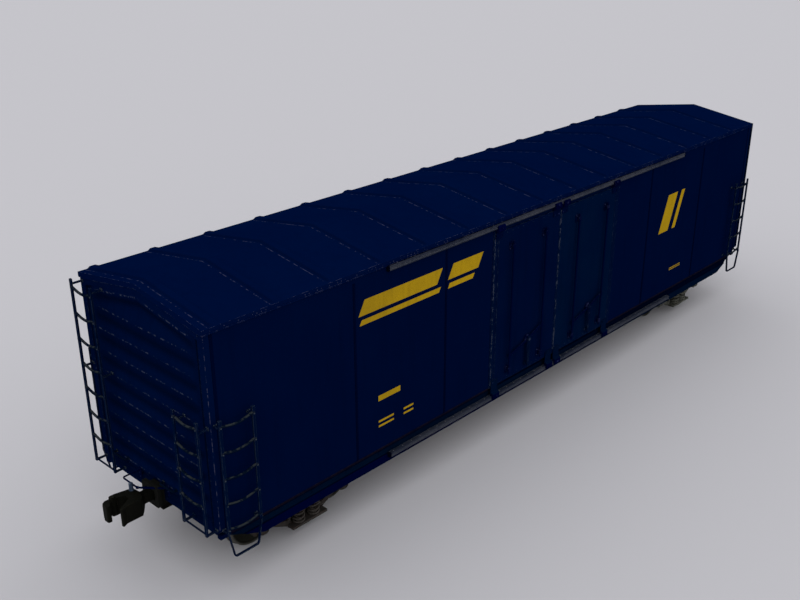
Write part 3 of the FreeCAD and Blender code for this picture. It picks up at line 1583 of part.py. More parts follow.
def hand_brake():
    """The hand wheel with its case, shaft and rod on end B, and the platform below it."""
    x = half_length
    y = d.brake_wheel_inset - half_width
    z = base_z + d.brake_wheel_rise
    wheel_x = x + d.brake_wheel_standoff
    wide = d.brake_case_width / 2
    tall = d.brake_case_height / 2
    case = prism("brake_case", "yz", [
        (y - wide, z - tall, d.brake_case_soft),
        (y + wide, z - tall, d.brake_case_soft),
        (y + wide, z + tall, d.brake_case_soft),
        (y - wide, z + tall, d.brake_case_soft),
    ], x, d.brake_case_depth)
    backing_half = d.end_rib_pitch * 3 / 5
    backing = block(
        "brake_backing",
        (x, x + d.platform_thick / 2),
        (y - wide, y + wide),
        (z - backing_half, z + backing_half),
    )
    shaft = rod("brake_shaft", (x, y, z), "x", d.brake_wheel_standoff, d.brake_shaft_radius)
    grip = d.brake_rim_radius
    rim = lathed("brake_rim", [
        (-grip, d.brake_wheel_radius - grip / 2),
        (-grip, d.brake_wheel_radius + grip / 2),
        (ZERO, d.brake_wheel_radius + grip),
        (grip, d.brake_wheel_radius + grip / 2),
        (grip, d.brake_wheel_radius - grip / 2),
        (ZERO, d.brake_wheel_radius - grip),
    ])
    hub = rod("brake_hub", (-grip, ZERO, ZERO), "x", grip * 2, d.brake_hub_radius)
    bar = rod("brake_bar", (ZERO, ZERO, -d.brake_wheel_radius), "z", d.brake_wheel_radius * 2, grip * 2 / 3)
    spokes = [place(group("brake_spokes_%d" % index, [bar]), ZERO, ZERO, ZERO, axis=X_AXIS, angle=60 * index)
              for index in range(3)]
    wheel = moved("brake_wheel", fused("brake_wheel_solid", [rim, hub] + spokes), wheel_x, y, z)
    rod_x = x + d.brake_case_depth / 2
    rod_low = base_z + d.ladder_foot
    pull = rod("brake_pull_rod", (rod_x, y, rod_low), "z", z - rod_low, d.brake_rod_radius)
    node("hand_brake", fused("hand_brake", [backing, case, shaft, wheel, pull]))
    top = base_z + d.platform_rise
    deck = block(
        "platform_deck",
        (x, x + d.platform_depth),
        (y - d.platform_length / 2, y + d.platform_length / 2),
        (top - d.platform_thick, top),
    )
    hole = rod("platform_hole", (rod_x, y, top - d.platform_thick - d.cut_over), "z",
               d.platform_thick + d.cut_over * 2, d.brake_rod_radius + d.running_gap)
    legs = []
    for index, side in enumerate((-1, 1)):
        at = y + side * d.platform_length / 4 - d.platform_leg / 2
        legs.append(block(
            "platform_leg_%d" % index,
            (x, x + d.platform_thick / 2),
            (at, at + d.platform_leg),
            (base_z + d.ladder_foot, top - d.platform_thick / 2),
        ))
        legs.append(prism("platform_gusset_%d" % index, "xz", [
            (x, top - d.platform_thick / 2),
            (x, top - d.platform_depth),
            (x + d.platform_depth * 3 / 4, top - d.platform_thick / 2),
        ], at + d.platform_leg / 2 - d.platform_thick / 4, d.platform_thick / 2))
    node("brake_platform", cut("brake_platform", fused("platform_solid", [deck] + legs), [hole]))


def brake_equipment():
    """The air reservoir, the brake cylinder and the control valve, in the bays between crossbearers."""
    y = -d.equipment_offset
    top = sill_top_z
    bay = min((x for x in crossbearer_places() if x.value >= 0), key=lambda size: size.value)
    start = bay + d.crossbearer_width
    tank_z = top - d.equipment_hang - d.reservoir_radius
    radius = d.reservoir_radius
    length = d.reservoir_length
    tank = lathed("reservoir", [
        (ZERO, ZERO),
        (ZERO, radius, d.tank_crown),
        (length, radius, d.tank_crown),
        (length, ZERO),
    ])
    pieces = [moved("reservoir_placed", tank, start, y, tank_z)]
    for index, share in enumerate((1, 3)):
        x = start + length * share / 4 - d.strap_width / 2
        pieces.append(rod("reservoir_band_%d" % index, (x, y, tank_z), "x", d.strap_width,
                          radius + d.strap_thick))
        pieces.append(block(
            "reservoir_strap_%d" % index,
            (x, x + d.strap_width),
            (y - radius / 2, y + radius / 2),
            (tank_z, top),
        ))
    reservoir = fused("reservoir_hung", pieces)
    wide = d.cylinder_radius
    long = d.cylinder_length
    rim = wide + d.cylinder_flange
    cyl_z = top - d.equipment_hang - rim
    case = lathed("brake_cylinder", [
        (-d.push_rod_length, ZERO),
        (-d.push_rod_length, d.push_rod_radius),
        (ZERO, d.push_rod_radius),
        (ZERO, wide),
        (long - d.cylinder_flange * 2, wide),
        (long - d.cylinder_flange * 2, rim),
        (long, rim),
        (long, ZERO),
    ])
    hanger_x = -start - long / 2
    yoke = block(
        "cylinder_hanger",
        (hanger_x - d.strap_width, hanger_x + d.strap_width),
        (-y - wide / 2, -y + wide / 2),
        (cyl_z, top),
    )
    cylinder = fused("cylinder_hung", [moved("cylinder_placed", case, -start - long, -y, cyl_z), yoke])
    half = d.valve_size / 2
    body = prism("control_valve", "yz", [
        (y - half, top - d.valve_size * 3 / 4, d.tank_crown / 2),
        (y + half, top - d.valve_size, d.tank_crown / 2),
        (y + half, top),
        (y - half, top),
    ], bay - d.crossbearer_pitch / 2 - half, d.valve_size)
    node("brake_equipment", group("brake_equipment", [reservoir, cylinder, body]))


wheelset()
trucks()
center_sill()
body_bolsters()
crossbearers()
side_sills()
floor()
side_walls()
door_frames()
doors()
door_tracks()
door_gear()
end_walls()
roof()
ladders()
couplers()
uncoupling_levers()
hand_brake()
brake_equipment()
doc.recompute()

for item in doc.Objects:
    if "Invalid" in item.State or "Error" in item.State:
        raise RuntimeError("%s did not build: %s" % (item.Label, item.State))
for item in nodes:
    if item.Shape.isNull() or not item.Shape.isValid():
        raise RuntimeError("%s has no valid shape" % item.Label)

os.makedirs("parts", exist_ok=True)
for item in nodes:
    item.Shape.exportStep(os.path.join("parts", item.Label + ".step"))
print("wrote %d nodes" % len(nodes))
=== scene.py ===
import logging
import math
from dataclasses import dataclass
from enum import Enum
from functools import cache
from typing import Iterable, Optional, Sequence

import bmesh
import bpy
import numpy as np
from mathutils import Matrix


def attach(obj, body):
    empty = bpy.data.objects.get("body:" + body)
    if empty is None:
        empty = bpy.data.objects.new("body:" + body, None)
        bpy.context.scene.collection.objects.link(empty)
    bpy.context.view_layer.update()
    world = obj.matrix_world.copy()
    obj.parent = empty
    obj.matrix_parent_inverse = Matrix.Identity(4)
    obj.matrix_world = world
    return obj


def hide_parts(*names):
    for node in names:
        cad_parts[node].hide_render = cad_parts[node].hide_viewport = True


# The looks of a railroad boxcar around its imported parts, in metres: X along the car, Y across, Z up.
# Side RIGHT is at -Y and end A at -X. The left side and end B are the same shapes turned half round.

log = logging.getLogger("boxcar")

Array = np.ndarray
Span = tuple[float, float]
Point = tuple[float, float, float]
Colour = tuple[float, float, float]
Row = tuple[float, ...]
Spans = tuple[Span, ...]
Rows = Sequence[Sequence[float]] | Array
Values = Sequence[float] | Array
Socket = bpy.types.NodeSocket


class Axis(Enum):
    """The axis that a shape is carried or turned along."""

    X = 0
    Y = 1
    Z = 2


X, Y, Z = Axis


class Half(Enum):
    """A side or an end: as it is made, or turned half round about the car's middle."""

    MADE = False
    TURNED = True


@dataclass(frozen=True)
class Car:
    """The main places of the car."""

    half_length: float = 8.095
    half_width: float = 1.56
    base_z: float = 1.105
    eave_z: float = 4.418
    ridge_z: float = 4.66
    wall_top_z: float = 4.338
    peak_z: float = 4.58
    inner_y: float = 1.44
    truck_x: float = 6.125
    axle_z: float = 0.444
    axle_x: float = 0.864
    frame_y: float = 1.04
    coupler_z: float = 1.21
    sill_top_z: float = 1.325
    door_face: float = -1.582
    rod_y: float = -1.644
    slope: float = 0.242 / 1.44


CAR = Car()


# Shapes

BAR_SOFT_SHARE: float = 0.25
BOLT_SUNK: float = 0.004
RIVET_SUNK: float = 0.003
RUN_SHARE: float = 0.48
POLE_RADIUS: float = 1e-6
SOFT_RIM: float = 0.004


@dataclass
class Shape:
    """A mesh in the making.

    Attributes:
        points: the corners, one row each.
        faces: arrays of corner numbers, one array for each number of corners.
        wear: a value from -1 to 1 at each corner, which the finishes read: over 0 worn, under 0 darkened by
            painted shade.
    """

    points: Array
    faces: list[Array]
    wear: Optional[Values] = None

    def __post_init__(self) -> None:
        """Start with no wear where none is given."""
        if self.wear is None:
            self.wear = np.zeros(len(self.points))

    def turned(self, half: Half = Half.TURNED) -> "Shape":
        """The same shape, turned half round about the Z axis where the half says so."""
        if not half.value:
            return self
        return Shape(self.points * np.array([-1.0, -1.0, 1.0]), self.faces, self.wear)

    def flipped(self, axis: Axis) -> "Shape":
        """The mirror image across the middle plane of one axis."""
        factor = np.ones(3)
        factor[axis.value] = -1.0
        return Shape(self.points * factor, [f[:, ::-1] for f in self.faces], self.wear)

    def at_all(self, places: Array) -> "Shape":
        """The same shape again at each of the places.

        Args:
            places: offsets, one row each.

        Returns:
            One shape: every point plus every offset.
        """
        count, size = len(places), len(self.points)
        points = (places[:, None, :] + self.points[None]).reshape(-1, 3)
        shift = np.arange(count)[:, None, None] * size
        faces = [(f[None] + shift).reshape(-1, f.shape[1]) for f in self.faces]
        return Shape(points, faces, np.tile(self.wear, count))


def join(shapes: Iterable[Shape]) -> Shape:
    """Several shapes as one, each still its own closed skin."""
    shapes = list(shapes)
    starts = np.cumsum([0] + [len(s.points) for s in shapes[:-1]])
    faces = [f + start for s, start in zip(shapes, starts) for f in s.faces]
    points = np.concatenate([s.points for s in shapes])
    return Shape(points, faces, np.concatenate([s.wear for s in shapes]))


def across(axis: Axis, flat: Array, depth: Array | float) -> Array:
    """Points of planes across an axis, from their two other coordinates in x, y, z order."""
    points = np.empty(flat.shape[:-1] + (3,))
    points[..., axis.value] = depth
    points[..., [i for i in range(3) if i != axis.value]] = flat
    return points


def skin(rings: Array, closed: bool = False, caps: tuple[bool, bool] = (True, True),
         wear: Optional[Values] = None) -> Shape:
    """A surface through rings of points.

    Point j of ring i joins point j of ring i + 1, and the last point of a ring joins its first.

    Args:
        rings: rings, points of a ring, coordinates.
        closed: the last ring joins the first, so there are no caps.
        caps: whether the first and the last ring are filled.
        wear: a value for each point of each ring.

    Returns:
        The surface of quads, with one face over each cap.
    """
    count, size = rings.shape[:2]
    number = np.arange(count * size).reshape(count, size)
    near, far = (number, np.roll(number, -1, axis=0)) if closed else (number[:-1], number[1:])
    quads = np.stack([near, far, np.roll(far, -1, axis=1), np.roll(near, -1, axis=1)], axis=-1)
    faces = [quads.reshape(-1, 4)]
    if not closed:
        faces += [number[:1, ::-1]] * caps[0] + [number[-1:]] * caps[1]
    return Shape(rings.reshape(-1, 3), faces, None if wear is None else wear.ravel())


def extrude(axis: Axis, outline: Rows, span: Span) -> Shape:
    """A closed outline carried along an axis: each point keeps its two coordinates over the span."""
    flat = np.asarray(outline, float)
    return skin(np.stack([across(axis, flat, depth) for depth in span]))


def box(x: Span, y: Span, z: Span) -> Shape:
    """A block between two limits on each axis."""
    return extrude(Z, [(x[0], y[0]), (x[1], y[0]), (x[1], y[1]), (x[0], y[1])], z)


def circle(radius: float, steps: int = 16, start: float = 0.0) -> Array:
    """Points round a circle: the radius times the cosine and the sine of each angle."""
    angle = start + np.arange(steps) * 2 * math.pi / steps
    return radius * np.stack([np.cos(angle), np.sin(angle)], axis=1)


def rounded_block(width: float, height: float, radius: float, steps: int = 4) -> Array:
    """The outline of a block with a quarter circle at each corner, about its middle."""
    angle = (np.arange(4)[:, None] * 90 + np.linspace(0, 90, steps + 1)[None]) * math.pi / 180
    sign = np.array([(1, 1), (-1, 1), (-1, -1), (1, -1)], float)
    middle = sign * np.array([width / 2 - radius, height / 2 - radius])
    arcs = middle[:, None] + radius * np.stack([np.cos(angle), np.sin(angle)], axis=-1)
    return arcs.reshape(-1, 2)


def lathe(axis: Axis, profile: Rows, centre: Point = (0, 0, 0),
          steps: int = 32, wear: Optional[Values] = None) -> Shape:
    """A profile turned about an axis.

    A profile point (t, r) gives a ring at t along the axis: r times the cosine and sine of each angle.

    Args:
        axis: the axis of the turn, through the centre.
        profile: places along the axis with their radii.
        centre: where the axis and the place 0 are.
        steps: points of each ring.
        wear: a value for each profile point.

    Returns:
        The closed solid; an end of no radius is a pole.
    """
    profile = np.asarray(profile, float)
    ring = circle(1.0, steps)
    rings = across(axis, profile[:, 1, None, None] * ring[None], profile[:, 0, None])
    spread = None if wear is None else np.repeat(np.asarray(wear, float)[:, None], steps, axis=1)
    caps = (bool(profile[0, 1] > POLE_RADIUS), bool(profile[-1, 1] > POLE_RADIUS))
    return skin(rings + np.array(centre), caps=caps, wear=spread)


def rounded(corners: Rows, radius: float, steps: int = 5,
            closed: bool = False) -> Array:
    """A path with soft corners.

    Each corner P between A and B, both a radius away from it on its two runs, becomes the curve
    (1 - t) squared times A, plus twice t times (1 - t) times P, plus t squared times B.

    Args:
        corners: the points where the runs meet.
        radius: how far from a corner its curve starts.
        steps: pieces of each curve.
        closed: the last run leads back to the first corner.

    Returns:
        The points of the path.
    """
    corners = np.asarray(corners, float)
    middle = corners if closed else corners[1:-1]
    before = (np.roll(corners, 1, axis=0) if closed else corners[:-2]) - middle
    after = (np.roll(corners, -1, axis=0) if closed else corners[2:]) - middle
    reach = [np.linalg.norm(run, axis=1, keepdims=True) for run in (before, after)]
    start = middle + before / reach[0] * np.minimum(radius, reach[0] * RUN_SHARE)
    end = middle + after / reach[1] * np.minimum(radius, reach[1] * RUN_SHARE)
    t = np.linspace(0, 1, steps + 1)[None, :, None]
    curves = (1 - t) ** 2 * start[:, None] + 2 * t * (1 - t) * middle[:, None] + t ** 2 * end[:, None]
    path = curves.reshape(-1, corners.shape[1])
    return path if closed else np.concatenate([corners[:1], path, corners[-1:]])


def sweep(path: Array, outline: Array, normal: Point, closed: bool = False) -> Shape:
    """An outline carried along a flat path.

    At each point the outline's first coordinate runs across the path in its plane, and its second
    along the plane's normal. The direction across is the tangent crossed with the normal.

    Args:
        path: the points of a path that lies in one plane.
        outline: the closed section.
        normal: the direction that stands on the plane.
        closed: the path returns to its start.

    Returns:
        The swept solid.
    """
    if closed:
        tangent = np.roll(path, -1, axis=0) - np.roll(path, 1, axis=0)
    else:
        tangent = np.gradient(path, axis=0)
    tangent /= np.linalg.norm(tangent, axis=1, keepdims=True)
    up = np.asarray(normal, float)
    side = np.cross(tangent, up)
    rings = path[:, None] + outline[None, :, :1] * side[:, None] + outline[None, :, 1:] * up
    return skin(rings, closed=closed)


def tube(corners: Sequence[Point], radius: float, normal: Point, bend: float = 0.03,
         steps: int = 14) -> Shape:
    """A round bar along a flat path with soft corners."""
    return sweep(rounded(corners, bend), circle(radius, steps), normal)


def bar(axis: Axis, span: Span, at: Span, radius: float, steps: int = 16) -> Shape:
    """A straight round bar with slightly rounded ends, at two coordinates across its axis."""
    soft = radius * BAR_SOFT_SHARE
    start, stop = span
    profile = [(start, radius - soft), (start + soft, radius), (stop - soft, radius), (stop, radius - soft)]
    centre = across(axis, np.array(at, float), 0.0)
    return lathe(axis, profile, tuple(centre), steps)


def barrel(axis: Axis, half: float, radius: float, centre: Point, steps: int,
           wear: Optional[Values] = None) -> Shape:
    """A short round bar about a centre, with a soft rim at both ends."""
    rim = radius - SOFT_RIM
    profile = [(-half, rim), (SOFT_RIM - half, radius), (half - SOFT_RIM, radius), (half, rim)]
    return lathe(axis, profile, centre, steps, wear)


def bolts(axis: Axis, places: Sequence[Point] | Array, radius: float = 0.014, height: float = 0.011,
          outward: float = -1.0) -> Shape:
    """Six-sided bolt heads that stand on a face across an axis, each with a worn top."""
    profile = [(-BOLT_SUNK * outward, radius), (height * 0.7 * outward, radius),
               (height * outward, radius * 0.8)]
    head = lathe(axis, profile, steps=6, wear=np.array([0.0, 0.3, 0.8]))
    return head.at_all(np.asarray(places, float))


def rivets(axis: Axis, places: Sequence[Point] | Array, radius: float = 0.011, height: float = 0.006,
           outward: float = -1.0) -> Shape:
    """Domed rivet heads on a face across an axis: radius times the cosine, height times the sine."""
    angle = np.linspace(0, math.pi / 2, 4)[:-1]
    rise = np.append(height * np.sin(angle), height)
    profile = np.stack([rise * outward, np.append(radius * np.cos(angle), radius * 0.2)], axis=1)
    profile[0, 0] = -RIVET_SUNK * outward
    head = lathe(axis, profile, steps=8, wear=np.array([0.0, 0.1, 0.4, 0.6]))
    return head.at_all(np.asarray(places, float))


def line_of(start: Point, stop: Point, count: int) -> Array:
    """Evenly spaced places from one point to another."""
    share = np.linspace(0, 1, count)[:, None]
    return np.array(start) * (1 - share) + np.array(stop) * share


def smooth(value: Array) -> Array:
    """A soft step from 0 to 1: three times the square less twice the cube."""
    value = np.clip(value, 0, 1)
    return value * value * (3 - 2 * value)


def band(distance: Array, half: float) -> Array:
    """A soft band: e to the power of minus the square of the distance over the half width."""
    return np.exp(-(distance / half) ** 2)


def plate(front: Array, back: Array, keep: Array, wear: Array) -> Shape:
    """A closed plate between two grids of points.

    Each kept cell gives a quad on both grids, and each edge that only one kept cell has gets a wall.

    Args:
        front: rows, columns, coordinates of the outer face.
        back: the same of the inner face.
        keep: which cells between the grid's lines are there.
        wear: a value for each point of the outer face.

    Returns:
        The closed plate.
    """
    size = front.shape[0] * front.shape[1]
    number = np.arange(size).reshape(front.shape[:2])
    quads = np.stack([number[:-1, :-1], number[1:, :-1], number[1:, 1:], number[:-1, 1:]], axis=-1)[keep]
    edges = np.concatenate([quads[:, [i, (i + 1) % 4]] for i in range(4)])
    one_way = edges[:, 0] * size + edges[:, 1]
    other_way = edges[:, 1] * size + edges[:, 0]
    rim = edges[~np.isin(one_way, other_way)]
    walls = np.stack([rim[:, 1], rim[:, 0], rim[:, 0] + size, rim[:, 1] + size], axis=-1)
    points = np.concatenate([front.reshape(-1, 3), back.reshape(-1, 3)])
    faces = np.concatenate([quads, quads[:, ::-1] + size, walls])
    used, faces = np.unique(faces, return_inverse=True)
    both = np.concatenate([wear.ravel(), np.zeros(size)])
    return Shape(points[used], [faces.reshape(-1, 4)], both[used])


# Finishes

# Painted shade: the colour mixed in where a piece's wear value is under 0.
PAINTED_SHADE: Colour = (0.0002, 0.0022, 0.012)


class Graph:
    """The nodes of one material, with short ways to add and wire them."""

    def __init__(self, name: str) -> None:
        """Start a material with its shader and its output."""
        self.material = bpy.data.materials.new(name)
        self.material.use_nodes = True
        self.tree = self.material.node_tree
        self.tree.nodes.clear()
        self.shader = self.add("ShaderNodeBsdfPrincipled")
        out = self.add("ShaderNodeOutputMaterial")
        self.tree.links.new(self.shader.outputs["BSDF"], out.inputs["Surface"])
        self.place = self.add("ShaderNodeTexCoord").outputs["Object"]

    def add(self, kind: str, inputs: Optional[dict] = None, **values: object) -> bpy.types.Node:
        """A node of a kind, with some of its inputs wired or set and some of its properties set."""
        node = self.tree.nodes.new(kind)
        for name, value in values.items():
            setattr(node, name, value)
        for name, value in (inputs or {}).items():
            self.plug(node.inputs[name], value)
        return node

    def plug(self, socket: Socket, value: object) -> None:
        """Wire a socket to another one, or set it."""
        if isinstance(value, Socket):
            self.tree.links.new(value, socket)
        elif isinstance(value, tuple) and socket.type == "RGBA":
            socket.default_value = value + (1.0,)
        else:
            socket.default_value = value

    def math(self, operation: str, first: object, second: object = 0.0) -> Socket:
        """The result of one operation on two values."""
        clamp = operation in ("ADD", "MULTIPLY")
        node = self.add("ShaderNodeMath", {0: first, 1: second}, operation=operation, use_clamp=clamp)
        return node.outputs[0]

    def noise(self, scale: float, detail: float = 3.0, stretch: Point = (1, 1, 1),
              rough: float = 0.55) -> Socket:
        """Noise over the object's own coordinates, each stretched by a factor."""
        mapped = self.add("ShaderNodeMapping", {"Vector": self.place, "Scale": stretch}).outputs[0]
        inputs = {"Vector": mapped, "Scale": scale, "Detail": detail, "Roughness": rough}
        return self.add("ShaderNodeTexNoise", inputs).outputs["Fac"]

    def ramp(self, value: object, low: float, high: float, least: float = 0.0,
             most: float = 1.0) -> Socket:
        """A soft step from least to most as the value goes from low to high."""
        inputs = dict(enumerate((value, low, high, least, most)))
        return self.add("ShaderNodeMapRange", inputs, interpolation_type="SMOOTHSTEP").outputs[0]

    def mix(self, share: object, first: object, second: object) -> Socket:
        """A colour between two colours."""
        inputs = {"Factor": share, 6: first, 7: second}
        return self.add("ShaderNodeMix", inputs, data_type="RGBA").outputs[2]

    def edges(self, radius: float) -> Socket:
        """How far a point lies on an edge: one less the softened normal along the true normal."""
        soft = self.add("ShaderNodeBevel", {"Radius": radius}, samples=4).outputs[0]
        true = self.add("ShaderNodeNewGeometry").outputs["Normal"]
        dot = self.add("ShaderNodeVectorMath", {0: soft, 1: true}, operation="DOT_PRODUCT")
        return self.ramp(self.math("SUBTRACT", 1.0, dot.outputs["Value"]), 0.02, 0.16)

    def attribute(self, name: str) -> Socket:
        """A value that the mesh holds at its points."""
        return self.add("ShaderNodeAttribute", attribute_name=name).outputs["Fac"]

    def along(self, axis: Axis) -> Socket:
        """A point's own coordinate along an axis."""
        return self.add("ShaderNodeSeparateXYZ", {0: self.place}).outputs[axis.name]

    def bump(self, value: object, strength: float, distance: float = 0.002) -> None:
        """Roughen the shader's surface by a value."""
        inputs = {"Strength": strength, "Distance": distance, "Height": value}
        self.plug(self.shader.inputs["Normal"], self.add("ShaderNodeBump", inputs).outputs[0])

    def surface(self, colour: object, roughness: object, metallic: float = 0.0,
                specular: float = 0.3) -> None:
        """Give the shader its colour and its gloss."""
        self.plug(self.shader.inputs["Base Color"], colour)
        self.plug(self.shader.inputs["Roughness"], roughness)
        self.shader.inputs["Metallic"].default_value = metallic
        self.shader.inputs["Specular IOR Level"].default_value = specular


@dataclass(frozen=True)
class Finish:
    """A finish of the car, made as one material when it is first asked for.

    Attributes:
        name: the material's name.
        colour: the clean colour.
        faded: the colour of the patches that have faded or darkened.
        worn: the colour under the paint, where edges have lost it.
        wear: how much of the edges is worn, from 0 to 1.
        edge: the width of the worn edges.
        dirt: how dark the streaks and the dust are.
        dust: the colour of the streaks and the dust.
        gloss: the roughness of the clean surface.
        specular: the strength of the reflections.
    """

    name: str
    colour: Colour
    faded: Colour
    worn: Colour = (0.2, 0.21, 0.28)
    wear: float = 0.5
    edge: float = 0.012
    dirt: float = 0.3
    dust: Colour = (0.0002, 0.0018, 0.012)
    gloss: float = 0.5
    specular: float = 0.0

    def clean(self, graph: Graph) -> Socket:
        """The colour before dirt and wear: two tones mixed by broad noise."""
        return graph.mix(graph.ramp(graph.noise(0.9, 4.0), 0.35, 0.7), self.colour, self.faded)

    def dirt_and_painted_shade(self, graph: Graph, colour: Socket) -> Socket:
        """Streaks that run down, from noise stretched along Z, over fine mottling, then painted shade in the
        shade colour where the mesh's wear value is under 0.
        """
        streaks = graph.ramp(graph.noise(5.0, 4.0, (1.6, 1.6, 0.16)), 0.45, 0.75)
        mottled = graph.ramp(graph.noise(38.0, 3.0), 0.42, 0.68)
        both = graph.math("ADD", graph.math("MULTIPLY", streaks, 0.75), graph.math("MULTIPLY", mottled, 0.35))
        amount = graph.math("MULTIPLY", both, self.dirt)
        # painted shade: the share of the shade colour, from the wear value under 0
        recess = graph.math("MULTIPLY", graph.attribute("wear"), -1.0)
        return graph.mix(recess, graph.mix(amount, colour, self.dust), PAINTED_SHADE)

    def worn_share(self, graph: Graph) -> Socket:
        """Edges and marked points, broken into dashes by noise."""
        marked = graph.math("ADD", graph.edges(self.edge), graph.attribute("wear"))
        low = 0.72 - 0.42 * self.wear
        dashes = graph.ramp(graph.noise(11.0, 5.0, rough=0.7), low, low + 0.07)
        return graph.math("MULTIPLY", marked, dashes)

    @cache
    def material(self) -> bpy.types.Material:
        """The finished material, made once."""
        graph = Graph(self.name)
        share = self.worn_share(graph)
        colour = graph.mix(share, self.dirt_and_painted_shade(graph, self.clean(graph)), self.worn)
        rough = graph.ramp(graph.noise(7.0, 4.0), 0.3, 0.75, self.gloss, self.gloss + 0.18)
        graph.surface(colour, rough, specular=self.specular)
        graph.bump(graph.noise(140.0, 3.0), 0.06)
        return graph.material


@dataclass(frozen=True)
class Banded(Finish):
    """A paint of two colours, one over the other.

    Attributes:
        low: the colour below the line.
        line_z: the height of the line.
        blend: how far the colours mix over and under the line.
    """

    low: Colour = (0, 0, 0)
    line_z: float = 0.0
    blend: float = 0.004

    def clean(self, graph: Graph) -> Socket:
        """The upper paint above the line's height and the lower one under it."""
        return graph.mix(self.over(graph, self.line_z, self.blend), self.low, Finish.clean(self, graph))

    def over(self, graph: Graph, level: float, blend: float) -> Socket:
        """A soft step from 0 under a height to 1 over it."""
        return graph.ramp(graph.along(Z), level - blend, level + blend)


@dataclass(frozen=True)
class SillPaint(Banded):
    """The side sill's paint: two bands whose colours change towards the far end as painted light, with
    painted shade under the wall's lip and along the line between the bands.

    Attributes:
        far: the upper band's colour at the far end, a painted change of light.
        low_far: the lower band's colour at the far end, a painted change of light.
        shade: the colour of the painted shade under the wall's lip and between the bands.
        lip_z: the height over which the lip's shadow is painted on the sill.
        line_half: how far the painted shade line between the bands reaches up and down.
        lip_blend: how softly the painted shadow of the lip ends.
        turn: the places along the car between which the painted light changes the colours.
    """

    far: Colour = (0, 0, 0)
    low_far: Colour = (0, 0, 0)
    shade: Colour = (0, 0, 0)
    lip_z: float = 0.0
    line_half: float = 0.01
    lip_blend: float = 0.006
    turn: Span = (-1.5, 4.0)

    def clean(self, graph: Graph) -> Socket:
        """Both bands, each mixed along the car as painted light, with the painted shade lines over them."""
        height = graph.along(Z)
        far = graph.ramp(graph.along(X), *self.turn)
        bands = graph.mix(self.over(graph, self.line_z, self.blend), graph.mix(far, self.low, self.low_far),
                          graph.mix(far, Finish.clean(self, graph), self.far))
        low_edge = graph.ramp(height, self.line_z - self.line_half, self.line_z - self.blend)
        high_edge = graph.ramp(height, self.line_z + self.blend, self.line_z + self.line_half)
        line = graph.math("SUBTRACT", low_edge, high_edge)
        shaded = graph.math("MAXIMUM", line, self.over(graph, self.lip_z, self.lip_blend))
        return graph.mix(shaded, bands, self.shade)


@dataclass(frozen=True)
class Rusted(Finish):
    """Bare or thinly coated steel with rust in patches.

    Attributes:
        rust: the colour of the rust.
        share: how much of the surface has rusted.
        metal: how metallic the steel is.
    """

    rust: Colour = (0.06, 0.025, 0.012)
    share: float = 0.4
    metal: float = 0.3

    @cache
    def material(self) -> bpy.types.Material:
        """The finished material, made once: rust over steel, dust, and worn edges."""
        graph = Graph(self.name)
        low = 0.7 - 0.4 * self.share
        patches = graph.ramp(graph.noise(9.0, 6.0, rough=0.68), low, low + 0.2)
        base = graph.mix(patches, self.clean(graph), self.rust)
        colour = graph.mix(self.worn_share(graph), self.dirt_and_painted_shade(graph, base), self.worn)
        graph.surface(colour, graph.ramp(patches, 0.0, 1.0, self.gloss, 0.9), self.metal, self.specular)
        graph.bump(graph.math("ADD", graph.noise(90.0, 4.0), graph.math("MULTIPLY", patches, 0.5)), 0.22)
        return graph.material


@dataclass(frozen=True)
class Planked(Finish):
    """Floor boards across the car.

    Attributes:
        board: the width of a board.
    """

    board: float = 0.14

    @cache
    def material(self) -> bpy.types.Material:
        """The finished material, made once: boards from a wave along X, with grain along Y."""
        graph = Graph(self.name)
        inputs = {"Vector": graph.place, "Scale": 0.314 / self.board}
        wave = graph.add("ShaderNodeTexWave", inputs, bands_direction="X", wave_profile="SAW")
        joint = graph.ramp(wave.outputs["Fac"], 0.0, 0.05)
        grain = graph.noise(14.0, 6.0, (4.0, 0.25, 4.0))
        wood = graph.mix(graph.ramp(grain, 0.3, 0.7), self.colour, self.faded)
        graph.surface(graph.mix(joint, self.dust, self.dirt_and_painted_shade(graph, wood)), 0.85, specular=self.specular)
        graph.bump(joint, 0.4, 0.004)
        return graph.material


BODY = Finish("body_paint", (0.0, 0.0034, 0.0265), (0.0, 0.0038, 0.028), worn=(0.012, 0.018, 0.05),
              wear=0.4, dirt=0.18)
ROOF = Finish("roof_paint", (0.0, 0.0042, 0.033), (0.0, 0.0047, 0.035), worn=(0.06, 0.064, 0.125),
              wear=0.53, edge=0.01, dirt=0.15)
CORNER = Finish("corner_paint", (0.0, 0.004, 0.03), (0.0, 0.0047, 0.032), worn=(0.062, 0.06, 0.105),
                wear=0.56, edge=0.004, dirt=0.25)
END = Finish("end_paint", (0.0, 0.004, 0.03), (0.0, 0.0047, 0.032), worn=(0.05, 0.058, 0.095),
             wear=0.5, edge=0.005, dirt=0.25)
DOOR = Finish("door_paint", (0.0, 0.0036, 0.027), (0.0002, 0.0046, 0.029), worn=(0.04, 0.056, 0.095),
              wear=0.6, edge=0.006, dirt=0.3)
DOOR_TEAL = Finish(
    "door_paint_teal", (0.0, 0.005, 0.0275), (0.0003, 0.0064, 0.029), worn=(0.04, 0.06, 0.095), wear=0.6,
    edge=0.006, dirt=0.3)
POST = Finish("post_paint", (0.0, 0.0038, 0.0255), (0.0004, 0.0052, 0.0275), worn=(0.05, 0.062, 0.1),
              wear=0.5, edge=0.01, dirt=0.3)
SEAM = Finish("seam_caulk", (0.0, 0.0016, 0.015), (0.0, 0.002, 0.018), wear=0.0, dirt=0.2)
GEAR = Finish("gear_paint", (0.0, 0.0019, 0.0215), (0.0, 0.0026, 0.0265), worn=(0.036, 0.042, 0.105),
              wear=0.55, edge=0.005, dirt=0.3)
